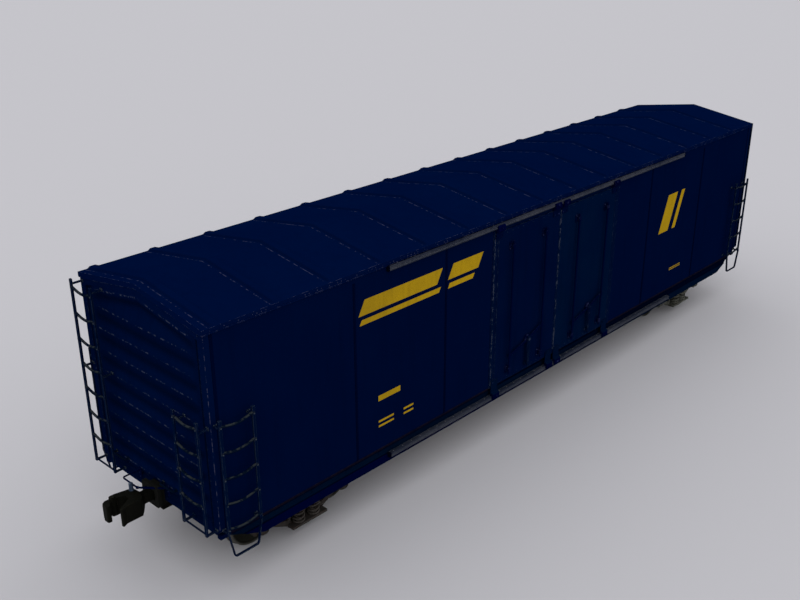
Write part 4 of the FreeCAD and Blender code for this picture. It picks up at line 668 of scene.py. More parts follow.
HANDLE = Finish("handle_paint", (0.0004, 0.0036, 0.022), (0.001, 0.006, 0.026),
                worn=(0.04, 0.052, 0.09), wear=0.55, edge=0.005, dirt=0.2)
HANGER_HIGH = Banded(
    "upper_hanger_paint", (0.0, 0.001, 0.018), (0.0, 0.0018, 0.031), worn=(0.03, 0.036, 0.12), wear=0.45,
    edge=0.006, dirt=0.25, low=(0.0, 0.003, 0.024), line_z=4.205)
HANGER_LOW = Banded(
    "lower_hanger_paint", (0.0002, 0.0046, 0.0225), (0.0003, 0.0052, 0.024), worn=(0.03, 0.036, 0.12),
    wear=0.4, edge=0.006, dirt=0.25, low=(0.0, 0.0012, 0.022), line_z=0.985)
RUBBED = Finish("rubbed_paint", (0.001, 0.006, 0.026), (0.0004, 0.0045, 0.024),
                worn=(0.105, 0.12, 0.16), wear=0.58, edge=0.02, dirt=0.3)
LADDER = Finish("ladder_paint", (0.0, 0.004, 0.023), (0.0006, 0.0054, 0.025), worn=(0.055, 0.068, 0.085),
                wear=0.7, edge=0.012, dirt=0.3)
RUNG = Finish("rung_worn", (0.003, 0.007, 0.017), (0.001, 0.0045, 0.015), worn=(0.036, 0.042, 0.044),
              wear=0.6, dirt=0.4, gloss=0.45)
LIP = Finish("lip_worn", (0.0035, 0.0032, 0.011), (0.006, 0.0045, 0.01), worn=(0.022, 0.015, 0.026),
             wear=0.6, dirt=0.4)
# The sill's colours change from the near half to the far one as painted light; the lip's shadow and the line
# between the bands are painted shade.
SILL = SillPaint(
    "sill_paint", (0.0002, 0.0048, 0.019), (0.0004, 0.006, 0.021), worn=(0.02, 0.034, 0.06), wear=0.4,
    edge=0.006, dirt=0.3, low=(0.0, 0.0014, 0.024), line_z=0.925, far=(0.0, 0.0016, 0.011),
    low_far=(0.0002, 0.005, 0.02), shade=(0.0, 0.001, 0.0075), lip_z=1.022)
TRACK = Finish("track_steel", (0.03, 0.033, 0.047), (0.012, 0.016, 0.031), worn=(0.13, 0.136, 0.155),
               wear=0.85, dirt=0.7, dust=(0.001, 0.004, 0.014), gloss=0.45, specular=0.03)
# Dark paint of the rails' end caps, also used for the painted shadow strips along the rails.
RAIL_CAP_AND_SHADOW = Finish("track_end", (0.001, 0.0015, 0.007), (0.002, 0.0025, 0.009), wear=0.3, dirt=0.3)
# Near-black paint of the underframe beams, partly painted shade: it is this dark so that the centre sill's
# end reads as shade.
UNDER = Finish("under_paint", (0.0045, 0.005, 0.0046), (0.006, 0.0065, 0.0056), worn=(0.02, 0.02, 0.017),
               wear=0.4, edge=0.006, dirt=0.5, dust=(0.009, 0.0085, 0.007), gloss=0.75, specular=0.05)
PIPE = Finish("pipe_paint", (0.008, 0.0082, 0.008), (0.012, 0.0112, 0.01), worn=(0.04, 0.036, 0.03),
              wear=0.5, edge=0.006, dirt=0.4, dust=(0.02, 0.018, 0.014), gloss=0.6, specular=0.1)
CASTING = Rusted(
    "truck_casting", (0.048, 0.042, 0.038), (0.03, 0.026, 0.024), worn=(0.11, 0.1, 0.088), wear=0.55,
    edge=0.008, dirt=0.55, dust=(0.01, 0.008, 0.007), gloss=0.7, specular=0.05, rust=(0.036, 0.021, 0.015),
    share=0.5, metal=0.0)
SPRING = Rusted(
    "spring_coil", (0.07, 0.061, 0.055), (0.045, 0.039, 0.035), worn=(0.13, 0.12, 0.105), wear=0.5,
    edge=0.004, dirt=0.4, dust=(0.012, 0.01, 0.008), gloss=0.6, specular=0.05, rust=(0.044, 0.027, 0.02),
    share=0.5, metal=0.0)
# Painted light: the far truck's castings and springs are lighter copies of the near truck's steel.
CASTING_LIT = Rusted(
    "truck_casting_lit", (0.09, 0.092, 0.078), (0.06, 0.061, 0.052), worn=(0.22, 0.225, 0.18), wear=0.55,
    edge=0.008, dirt=0.5, dust=(0.018, 0.017, 0.014), gloss=0.7, specular=0.05, rust=(0.056, 0.048, 0.034),
    share=0.4, metal=0.0)
SPRING_LIT = Rusted(
    "spring_coil_lit", (0.12, 0.122, 0.104), (0.08, 0.08, 0.068), worn=(0.24, 0.24, 0.2), wear=0.5,
    edge=0.004, dirt=0.4, dust=(0.022, 0.02, 0.016), gloss=0.6, specular=0.05, rust=(0.07, 0.06, 0.044),
    share=0.4, metal=0.0)
COUPLER = Rusted(
    "coupler_casting", (0.0064, 0.0066, 0.0044), (0.0036, 0.0039, 0.0028), worn=(0.03, 0.029, 0.021),
    wear=0.5, edge=0.008, dirt=0.45, dust=(0.0022, 0.0022, 0.0018), gloss=0.6, specular=0.03,
    rust=(0.0105, 0.0082, 0.0046), share=0.35, metal=0.0)
PIN = Finish("pin_steel", (0.026, 0.044, 0.08), (0.018, 0.032, 0.06), worn=(0.1, 0.13, 0.18), wear=0.6,
             dirt=0.3, gloss=0.4, specular=0.1)
WHEEL = Rusted(
    "wheel_rolled", (0.011, 0.0115, 0.0085), (0.008, 0.0085, 0.0065), worn=(0.07, 0.068, 0.06), wear=1.6,
    edge=0.004, dirt=0.4, dust=(0.006, 0.006, 0.005), gloss=0.55, specular=0.05,
    rust=(0.018, 0.013, 0.009), share=0.4, metal=0.1)
BOARDS = Planked(
    "floor_planks", (0.16, 0.1, 0.055), (0.1, 0.062, 0.035), dust=(0.02, 0.014, 0.01), dirt=0.35,
    specular=0.2)
YELLOW = Finish("stripe_paint", (0.46, 0.285, 0.009), (0.36, 0.222, 0.01), worn=(0.02, 0.03, 0.06),
                wear=0.35, edge=0.004, dirt=0.22, dust=(0.06, 0.04, 0.006), gloss=0.55)


# Pieces

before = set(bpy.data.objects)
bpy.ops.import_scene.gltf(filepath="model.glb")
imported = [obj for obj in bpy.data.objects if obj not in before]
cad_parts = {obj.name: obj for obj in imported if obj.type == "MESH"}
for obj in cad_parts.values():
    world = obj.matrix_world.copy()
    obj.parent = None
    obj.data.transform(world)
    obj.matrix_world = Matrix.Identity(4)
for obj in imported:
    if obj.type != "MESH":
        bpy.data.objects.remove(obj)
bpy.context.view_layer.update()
MERGE: float = 1e-5
FLAT_ANGLE: float = 1.0
EDGE_ANGLE: float = 32.0


def rides(piece: bpy.types.Object, body: str, replaced: Sequence[str]) -> bpy.types.Object:
    """Put a piece on its body and hide the nodes that it stands for."""
    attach(piece, body)
    if replaced:
        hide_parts(*replaced)
    log.info("%s: %d faces on %s", piece.name, len(piece.data.polygons), body)
    return piece


def close(mesh: bpy.types.Mesh) -> None:
    """Merge the doubles of a mesh and point its faces outwards."""
    work = bmesh.new()
    work.from_mesh(mesh)
    bmesh.ops.remove_doubles(work, verts=work.verts, dist=MERGE)
    bmesh.ops.recalc_face_normals(work, faces=work.faces)
    work.to_mesh(mesh)
    work.free()


def stand(name: str, mesh: bpy.types.Mesh, finish: Finish, bevel: float, steps: int,
          angle: float) -> bpy.types.Object:
    """Stand a mesh in the scene: smooth under an angle, in its finish, its sharp edges rounded."""
    mesh.shade_smooth()
    mesh.set_sharp_from_angle(angle=math.radians(angle))
    mesh.materials.clear()
    mesh.materials.append(finish.material())
    piece = bpy.data.objects.new(name, mesh)
    bpy.context.scene.collection.objects.link(piece)
    if bevel:
        edge = piece.modifiers.new("edges", "BEVEL")
        edge.width = bevel
        edge.segments = steps
        edge.limit_method = "ANGLE"
        edge.angle_limit = math.radians(EDGE_ANGLE)
        edge.harden_normals = True
    return piece


def make(name: str, shape: Shape, finish: Finish, body: str, slot: str, replaced: Sequence[str] = (),
         bevel: float = 0.0, steps: int = 2, angle: float = 38.0) -> bpy.types.Object:
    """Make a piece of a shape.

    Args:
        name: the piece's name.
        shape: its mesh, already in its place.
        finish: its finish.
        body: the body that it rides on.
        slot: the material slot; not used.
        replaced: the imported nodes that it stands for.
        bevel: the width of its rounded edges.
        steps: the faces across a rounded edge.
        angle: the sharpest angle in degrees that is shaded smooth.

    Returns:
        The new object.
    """
    mesh = bpy.data.meshes.new(name)
    loops = np.concatenate([f.ravel() for f in shape.faces])
    sizes = np.concatenate([np.full(len(f), f.shape[1]) for f in shape.faces])
    mesh.vertices.add(len(shape.points))
    mesh.vertices.foreach_set("co", shape.points.astype(np.float32).ravel())
    mesh.loops.add(len(loops))
    mesh.loops.foreach_set("vertex_index", loops.astype(np.int32))
    mesh.polygons.add(len(sizes))
    mesh.polygons.foreach_set("loop_start", np.concatenate([[0], np.cumsum(sizes)[:-1]]).astype(np.int32))
    mesh.update(calc_edges=True)
    mesh.attributes.new("wear", "FLOAT", "POINT").data.foreach_set("value", shape.wear.astype(np.float32))
    close(mesh)
    return rides(stand(name, mesh, finish, bevel, steps, angle), body, replaced)


def recast(name: str, node: str, finish: Finish, body: str, bevel: float, steps: int = 3,
           angle: float = 40.0) -> bpy.types.Object:
    """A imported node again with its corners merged, its flat faces joined and its edges rounded."""
    mesh = bpy.data.meshes.new(name)
    work = bmesh.new()
    work.from_mesh(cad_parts[node].data)
    bmesh.ops.remove_doubles(work, verts=work.verts, dist=2 * MERGE)
    bmesh.ops.dissolve_limit(work, angle_limit=math.radians(FLAT_ANGLE), verts=work.verts, edges=work.edges)
    work.to_mesh(mesh)
    work.free()
    return rides(stand(name, mesh, finish, bevel, steps, angle), body, [node])


def dress(node: str, finish: Finish) -> None:
    """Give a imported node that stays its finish."""
    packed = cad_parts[node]
    for place in packed.material_slots:
        place.material = finish.material()
    log.info("%s: packed node in %s", node, finish.name)


# Assemblies

@dataclass
class Twin:
    """A sub-assembly that is made once, and turned half round for the other end or side.

    Attributes:
        half: whether it is turned.
        tag: the name of its end or its side.
    """

    half: Half
    tag: str

    def put(self, name: str, shape: Shape, finish: Finish, slot: str, replaced: Sequence[str] = (),
            body: str = "car_body", **edges: float) -> None:
        """Make one of its pieces on a body, turned where the half says so."""
        make(name + "_" + self.tag, shape.turned(self.half), finish, body, slot, replaced, **edges)


@dataclass
class Roof:
    """The gabled roof with its pressed ribs and the rivets along its eaves."""

    half_length: float = 8.107
    half_width: float = 1.572
    rib_first: float = -7.875
    rib_pitch: float = 1.072
    rib_count: int = 15
    rib_half: float = 0.112
    crown_half: float = 0.04
    rib_height: float = 0.042
    rib_lines: Row = (
        0.003, 0.034, 0.04, 0.05, 0.062, 0.074, 0.086, 0.098, 0.107, 0.112, 0.118, 0.125, 0.135)
    rim_line: float = 0.012
    worn_line: float = 0.118
    worn_half: float = 0.006
    worn_most: float = 0.9
    # Painted shade: a dark line along the side of each rib that faces end A.
    shade_line: float = 0.078
    shade_half: float = 0.018
    shade_most: float = 0.28
    end_taper: float = 0.05
    rivet_reach: float = 7.98
    rivet_z: float = 4.378
    rivet_count: int = 200
    strip_reach: float = 8.1
    strip_y: Span = (-1.58, -1.57)
    strip_z: Span = (4.334, 4.352)

    def rib(self, x: Array) -> Array:
        """The share of a rib's height at x: a soft step from its foot to its crown."""
        return smooth((self.rib_half - np.abs(self.near(x))) / (self.rib_half - self.crown_half))

    def near(self, x: Array) -> Array:
        """The distance along the car from the nearest rib's middle."""
        index = np.clip(np.round((x - self.rib_first) / self.rib_pitch), 0, self.rib_count - 1)
        return x - self.rib_first - index * self.rib_pitch

    def places(self) -> Array:
        """The lines along X: close together over each rib and wide apart between them."""
        offsets = np.array(self.rib_lines)
        offsets = np.concatenate([-offsets[::-1], offsets])
        middles = self.rib_first + self.rib_pitch * np.arange(self.rib_count)
        end, rim = self.half_length, self.half_length - self.rim_line
        lines = np.concatenate([(middles[:, None] + offsets[None]).ravel(), middles[:-1] + self.rib_pitch / 2,
                                [-end, -rim, rim, end]])
        return np.unique(np.clip(lines, -end, end).round(4))

    def shell(self) -> Shape:
        """The roof as rings along X.

        The height over a ring is the eave's, plus the gable's rise times one less |y| over the half
        width, plus the rib's share times its height, tapered at the eaves.
        """
        y = np.concatenate([[-1.0, -0.996, -0.985, -0.97], np.linspace(-0.93, -0.05, 18), [-0.015, 0.0]])
        y = np.concatenate([y, -y[-2::-1]]) * self.half_width
        x = self.places()
        gable = CAR.eave_z + (CAR.ridge_z - CAR.eave_z) * (1 - np.abs(y) / self.half_width)
        taper = smooth((self.half_width - np.abs(y)) / self.end_taper)
        height = gable[None] + self.rib(x)[:, None] * taper[None] * self.rib_height
        top = np.stack(np.broadcast_arrays(x[:, None], y[None], height), axis=-1)
        below = np.array([(self.half_width, CAR.wall_top_z), (CAR.inner_y, CAR.wall_top_z), (0, CAR.peak_z),
                          (-CAR.inner_y, CAR.wall_top_z), (-self.half_width, CAR.wall_top_z)])
        low = across(X, np.broadcast_to(below[None], (len(x),) + below.shape), x[:, None])
        near = self.near(x)
        worn = self.worn_most * band(near + self.worn_line, self.worn_half)
        # painted shade on each rib's side that faces end A, taken off the wear value
        shaded = self.shade_most * band(near + self.shade_line, self.shade_half)
        wear = (worn - shaded)[:, None] * taper[None]
        wear[0] = 0.0
        return skin(np.concatenate([top, low], axis=1),
                    wear=np.concatenate([wear, np.zeros((len(x), len(below)))], axis=1))

    def eave_rivets(self) -> Shape:
        """Rivets in a line along both eaves."""
        line = line_of((-self.rivet_reach, -self.half_width, self.rivet_z),
                       (self.rivet_reach, -self.half_width, self.rivet_z), self.rivet_count)
        side = rivets(Y, line, 0.01, 0.005)
        return join([side, side.turned()])

    def eave_strips(self) -> Shape:
        """A flat strip along the foot of each eave."""
        strip = box((-self.strip_reach, self.strip_reach), self.strip_y, self.strip_z)
        return join([strip, strip.turned()])

    def build(self) -> None:
        """Make the roof's pieces."""
        make("roof_shell", self.shell(), ROOF, "car_body", "roof_blue", ["roof"], angle=50)
        make("eave_rivets", self.eave_rivets(), ROOF, "car_body", "roof_blue")
        make("eave_strips", self.eave_strips(), ROOF, "car_body", "roof_blue", bevel=0.002)


@dataclass
class EndWall(Twin):
    """A pressed end between two corner posts.

    Attributes:
        rib_marks: half width and reach of a rib's worn line, then fall, half width and strength of the
            painted shade in the recess below its crest.
        arch_marks: the same of the arch.
    """

    thick: float = 0.14
    field_half: float = 1.36
    sheet_half: float = 1.43
    recess: float = 0.05
    foot_band: float = 0.185
    cap_band: float = 0.1
    crest_first: float = 1.44
    crest_pitch: float = 0.365
    crest_count: int = 8
    crest_half: float = 0.022
    crest_lines: Row = (
        -0.152, -0.144, -0.132, -0.116, -0.098, -0.08, -0.062, -0.046, -0.034, -0.022, -0.014, 0.0, 0.014,
        0.022, 0.032, 0.048, 0.068, 0.092, 0.118, 0.144, 0.166, 0.182)
    foot_lines: Row = (1.105, 1.2, 1.27, 1.279, 1.285, 1.291, 1.3, 1.325)
    under: float = 0.13
    over: float = 0.16
    taper: float = 0.21
    arch_fall: float = 0.13
    arch_lines: int = 34
    split_z: float = 4.222
    notch_half: float = 0.165
    soft: float = 0.012
    groove_foot: float = 1.19
    groove_edge: float = 1.428
    groove_soft: float = 0.02
    # How dark the painted shade in the grooves beside the posts is.
    groove_shade: float = 0.8
    rib_marks: Row = (0.009, 1.17, 0.205, 0.062, 0.75)
    arch_marks: Row = (0.012, 1.2, 0.135, 0.06, 0.7)
    # Where the ribs' painted shade fades out towards the posts.
    shade_reach: float = 1.36
    shade_soft: float = 0.15
    rim_worn_half: float = 0.01
    rim_worn_most: float = 0.6
    corner_soft: float = 0.028
    post_step: Span = (0.1, 0.014)
    post_inner: float = 0.095
    post_cut: float = 1.465
    rivet_rows: Spans = ((-1.41, -0.22), (0.22, 1.41))
    rivet_row_z: float = 1.16
    rivet_column: float = 1.452
    rivet_column_z: Span = (1.24, 4.3)

    def gable(self, y: Array) -> Array:
        """The top line of the end at y."""
        return CAR.peak_z - CAR.slope * np.abs(y)

    def columns(self) -> Array:
        """The lines across the end: close together at the ribs' ends and the notch."""
        half = np.concatenate([
            [0.0, self.notch_half - 0.01, self.notch_half], np.linspace(0.24, 1.08, 13),
            np.linspace(1.12, 1.32, 12), np.linspace(1.335, 1.385, 8), [1.4, 1.415, self.sheet_half]])
        return np.concatenate([-half[:0:-1], half])

    def levels(self) -> Array:
        """The lines up the end below the arch: close together over each rib's profile."""
        crests = self.crest_first + self.crest_pitch * np.arange(self.crest_count)
        rows = (crests[:, None] + np.array(self.crest_lines)[None]).ravel()
        rows = np.concatenate([self.foot_lines, rows])
        rows = np.unique(rows[(rows >= CAR.base_z) & (rows < self.split_z - 0.004)].round(4))
        return np.append(rows, self.split_z)

    def rib(self, above: Array, y: Array, over: float) -> Array:
        """The share of a rib's height.

        It is the lesser of two soft steps: one over its profile, steep under the crest and long over
        it, and one along it, from its end in the field to the end of its crest.
        """
        rise = (above + self.crest_half + self.under) / self.under
        fall = (self.crest_half + over - above) / over
        along = (self.field_half - np.abs(y)) / self.taper
        line = np.clip(np.minimum(np.minimum(rise, fall), along), 0, 1)
        return 0.55 * line + 0.45 * smooth(line)

    def depth(self, y: Array, z: Array) -> tuple[Array, Array]:
        """How deep the sheet lies behind the end's plane, and its wear value: worn lines over 0, painted
        shade in the recesses and the grooves under 0.
        """
        out, gable = np.abs(y), self.gable(y)
        room = np.minimum(
            np.minimum(self.field_half - out, z - CAR.base_z - self.foot_band), gable - self.cap_band - z)
        field_share = smooth(0.5 + room / (2 * self.soft))
        groove = smooth(0.5 + (out - self.field_half) / (2 * self.soft))
        groove = groove * smooth((z - self.groove_foot) / self.groove_soft)
        groove = groove * smooth((gable - self.cap_band - z) / self.groove_soft)
        groove = groove * smooth((self.groove_edge - out) / self.soft)
        ends = smooth((self.shade_reach - out) / self.shade_soft)
        share = np.zeros_like(z)
        wear = np.zeros_like(z)
        ribs = [(z - self.crest_first - self.crest_pitch * index, self.over, self.rib_marks)
                for index in range(self.crest_count)]
        ribs.append((z - gable + self.arch_fall, self.arch_fall / 3, self.arch_marks))
        for above, over, (worn_half, reach, fall, shade_half, shade) in ribs:
            share = np.maximum(share, self.rib(above, y, over))
            wear += band(above + self.crest_half, worn_half) * (out < reach)
            # painted shade: a dark band in the recess below each crest
            wear -= shade * band(above + fall, shade_half) * ends
        wear += self.rim_worn_most * band(gable - z, self.rim_worn_half)
        # painted shade in the grooves beside the corner posts
        wear -= self.groove_shade * groove
        depth = self.recess * field_share * (1 - share)
        return np.maximum(depth, 0.5 * self.recess * groove), np.clip(wear, -1, 1)

    def sheet(self) -> Shape:
        """The pressed sheet and the bands round it, with a notch for the centre sill.

        Rows under the arch are level. Above them a row at share t lies t of the way to the gable.
        """
        y, levels = self.columns(), self.levels()
        level_z = np.broadcast_to(levels[:, None], (len(levels), len(y)))
        t = np.linspace(0, 1, self.arch_lines)[1:, None]
        arch_z = self.split_z + t * (self.gable(y)[None] - self.split_z)
        z = np.concatenate([level_z, arch_z])
        across_y = np.broadcast_to(y[None], z.shape)
        depth, wear = self.depth(across_y, z)
        front = np.stack([-CAR.half_length + depth, across_y, z], axis=-1)
        back = np.stack([np.full(z.shape, -CAR.half_length + self.thick), across_y, z], axis=-1)
        mid_y = (across_y[1:, 1:] + across_y[:-1, :-1]) / 2
        mid_z = (z[1:, 1:] + z[:-1, :-1]) / 2
        keep = (np.abs(mid_y) > self.notch_half) | (mid_z > CAR.sill_top_z)
        return plate(front, back, keep, wear)

    def post(self) -> Shape:
        """A corner post: a plan outline with a round outer corner and a stepped side, cut at its foot."""
        x, y, soft = -CAR.half_length, -CAR.half_width, self.corner_soft
        arc = np.linspace(0, math.pi / 2, 7)
        corner = np.stack([x + soft - soft * np.sin(arc[::-1]), y + soft - soft * np.cos(arc[::-1])], axis=1)
        step_x, step_y = x + self.post_step[0], y + self.post_step[1]
        before = [(x + self.thick, -self.sheet_half), (x, -self.sheet_half), (x, y + self.post_inner)]
        after = [(step_x, y), (step_x, step_y), (x + self.thick, step_y),
                 (x + self.thick, y + self.post_inner)]
        plan = np.concatenate([before, corner, after])
        low = CAR.base_z + np.clip(-plan[:, 1] - self.post_cut, 0, None)
        rings = [np.column_stack([plan, low]), np.column_stack([plan, np.full(len(plan), CAR.wall_top_z)])]
        middle = len(before) + len(arc) // 2
        worn = np.where(np.arange(len(plan)) == middle, 1.0, 0.0)
        return skin(np.stack(rings), wear=np.stack([worn, worn]))

    def rivet_lines(self) -> Shape:
        """Rivets along the foot band, and up the sheet beside its posts."""
        x, z, (low, high) = -CAR.half_length, self.rivet_row_z, self.rivet_column_z
        lines = [line_of((x, start, z), (x, stop, z), 16) for start, stop in self.rivet_rows]
        lines += [line_of((x, y, low), (x, y, high), 36) for y in (-self.rivet_column, self.rivet_column)]
        return rivets(X, np.concatenate(lines), 0.009, 0.005)

    def build(self) -> None:
        """Make the end's pieces."""
        post = self.post()
        self.put("end_sheet", self.sheet(), END, "body_blue", ["end_wall_" + self.tag], angle=42)
        self.put("corner_posts", join([post, post.flipped(Y)]), CORNER, "body_blue", bevel=0.003)
        self.put("end_rivets", self.rivet_lines(), END, "body_blue")


@dataclass
class Sides(Twin):
    """One side of the car: its wall edges, stripes, door strips and the plates on the sill."""

    lip_spans: Spans = ((-7.96, -1.92), (2.18, 7.96))
    lip_z: Span = (1.083, 1.121)
    seam_places: Row = (-5.315, -3.165, 3.505, 5.765)
    seam_half: float = 0.0215
    seam_z: Span = (1.122, 4.252)
    corner_shade_strips: Spans = ((-7.992, -7.94), (7.94, 7.992))
    corner_shade_z: Span = (1.125, 4.33)
    tab_rows: Spans = ((-7.0, -4.7), (5.0, 7.3))
    tab_pitch: float = 0.75
    flash_z: Spans = ((3.66, 3.92), (3.5, 3.59))
    pair_z: Span = (2.62, 3.46)
    strip_spans: Spans = ((0.07, 0.098), (0.132, 0.16), (-1.785, -1.765), (2.03, 2.05))
    strip_z: Span = (1.2, 4.12)
    bolt_spans: Spans = ((-1.7, 0.02), (0.21, 1.98))
    bolt_levels: Span = (1.19, 4.115)
    post_places: Span = (-1.86, 2.12)
    post_z: Span = (1.2, 4.16)
    pad_spans: Spans = ((-8.088, -7.955), (7.955, 8.088))

    def lips(self) -> Shape:
        """The folded lip at the foot of the side wall, over a thin shadow that is painted on the top of the
        sill.
        """
        face = -CAR.half_width
        return join([box(span, (face - 0.007, face + 0.03), self.lip_z) for span in self.lip_spans])

    def seams(self) -> Shape:
        """Dark caulked seams between the wall's sheets, and beside the corner posts dark strips that paint
        the shade of a groove.
        """
        face = -CAR.half_width
        lines = [box((x - self.seam_half, x + self.seam_half), (face - 0.0072, face + 0.003), self.seam_z)
                 for x in self.seam_places]
        # painted shade of a groove beside each corner post
        lines += [box(span, (face - 0.001, face + 0.006), self.corner_shade_z) for span in self.corner_shade_strips]
        return join(lines)

    def sill_tabs(self) -> Shape:
        """Short plates that hang the sill from the wall."""
        x = np.concatenate([np.arange(start, stop, self.tab_pitch) for start, stop in self.tab_rows])
        tab = box((-0.05, 0.05), (-1.524, -1.512), (0.975, 1.1))
        return tab.at_all(np.stack([x, np.zeros_like(x), np.zeros_like(x)], axis=1))

    def slanted_bar(self, x: float, width: float, z: Span, lean: float) -> Shape:
        """A flat slanted bar of paint on the wall: a parallelogram with its top carried along X."""
        outline = [(x, z[0]), (x + width, z[0]), (x + width + lean, z[1]), (x + lean, z[1])]
        return extrude(Y, outline, (-CAR.half_width - 0.0012, -CAR.half_width + 0.002))

    def stripes(self) -> Shape:
        """Plain slanted bars of paint: a long flash ahead of the doors and a short pair behind them."""
        high, low = self.flash_z
        rows = [(-5.23, 1.83, high, 0.14), (-3.12, 0.8, high, 0.14), (-5.21, 1.86, low, 0.05),
                (-3.12, 0.66, low, 0.05), (4.02, 0.4, self.pair_z, 0.3), (4.6, 0.14, self.pair_z, 0.3)]
        return join([self.slanted_bar(*row) for row in rows])

    def marks(self) -> Shape:
        """Small plain bars low on the wall, ahead of the doors and behind them."""
        rows = [(-4.82, 0.52, 2.02, 0.1), (-4.82, 0.36, 1.62, 0.035), (-4.82, 0.36, 1.53, 0.035),
                (-4.22, 0.24, 1.62, 0.035), (-4.22, 0.24, 1.53, 0.035), (4.7, 0.5, 1.615, 0.018),
                (4.7, 0.5, 1.575, 0.018)]
        return join([self.slanted_bar(x, width, (z, z + tall), 0.0) for x, width, z, tall in rows])

    def door_strips(self) -> Shape:
        """Flat strips along the door edges at the joint and beside the posts."""
        face = CAR.door_face
        return join([box(span, (face - 0.004, face + 0.01), self.strip_z) for span in self.strip_spans])

    def streaks(self) -> Shape:
        """Rubbed strips on the left door post and along the joint of the doors."""
        post = box((-1.884, -1.862), (-1.5745, -1.565), (1.16, 4.19))
        joint = box((0.103, 0.127), (CAR.door_face - 0.0055, CAR.door_face + 0.01), self.strip_z)
        return join([post, joint])

    def door_bolts(self) -> Shape:
        """Bolt heads along the foot and the head of each door."""
        face = CAR.door_face
        lines = [line_of((start, face, z), (stop, face, z), 12) for start, stop in self.bolt_spans
                 for z in self.bolt_levels]
        return rivets(Y, np.concatenate(lines), 0.01, 0.005)

    def post_rivets(self) -> Shape:
        """Rivets up both door posts."""
        low, high = self.post_z
        lines = [line_of((x, -1.572, low), (x, -1.572, high), 30) for x in self.post_places]
        return rivets(Y, np.concatenate(lines), 0.009, 0.005)

    def corner_pads(self) -> Shape:
        """The pads under the corner posts, which close the sill's tips."""
        return join([box(span, (-1.5525, -1.465), (1.042, 1.112)) for span in self.pad_spans])

    def build(self) -> None:
        """Make the side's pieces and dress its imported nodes."""
        for name, shape, finish, slot, bevel in (
                ("corner_pads", self.corner_pads(), BODY, "body_blue", 0.01),
                ("wall_lips", self.lips(), LIP, "body_blue", 0.002),
                ("wall_seams", self.seams(), SEAM, "body_blue", 0.0),
                ("sill_tabs", self.sill_tabs(), SILL, "sill_blue", 0.002),
                ("paint_stripes", self.stripes(), YELLOW, "body_blue", 0.0),
                ("paint_marks", self.marks(), YELLOW, "body_blue", 0.0),
                ("door_strips", self.door_strips(), POST, "door_blue", 0.0015),
                ("door_streaks", self.streaks(), RUBBED, "door_blue", 0.0015),
                ("door_bolts", self.door_bolts(), DOOR, "door_blue", 0.0),
                ("post_rivets", self.post_rivets(), POST, "body_blue", 0.0)):
            self.put(name, shape, finish, slot, bevel=bevel)
        for end in "ab":
            dress("wall_%s_%s" % (self.tag, end), BODY)
            dress("door_%s_%s" % (self.tag, end), DOOR_TEAL if (end == "b") != self.half.value else DOOR)
        dress("door_frame_" + self.tag, POST)
        dress("side_sill_" + self.tag, SILL)


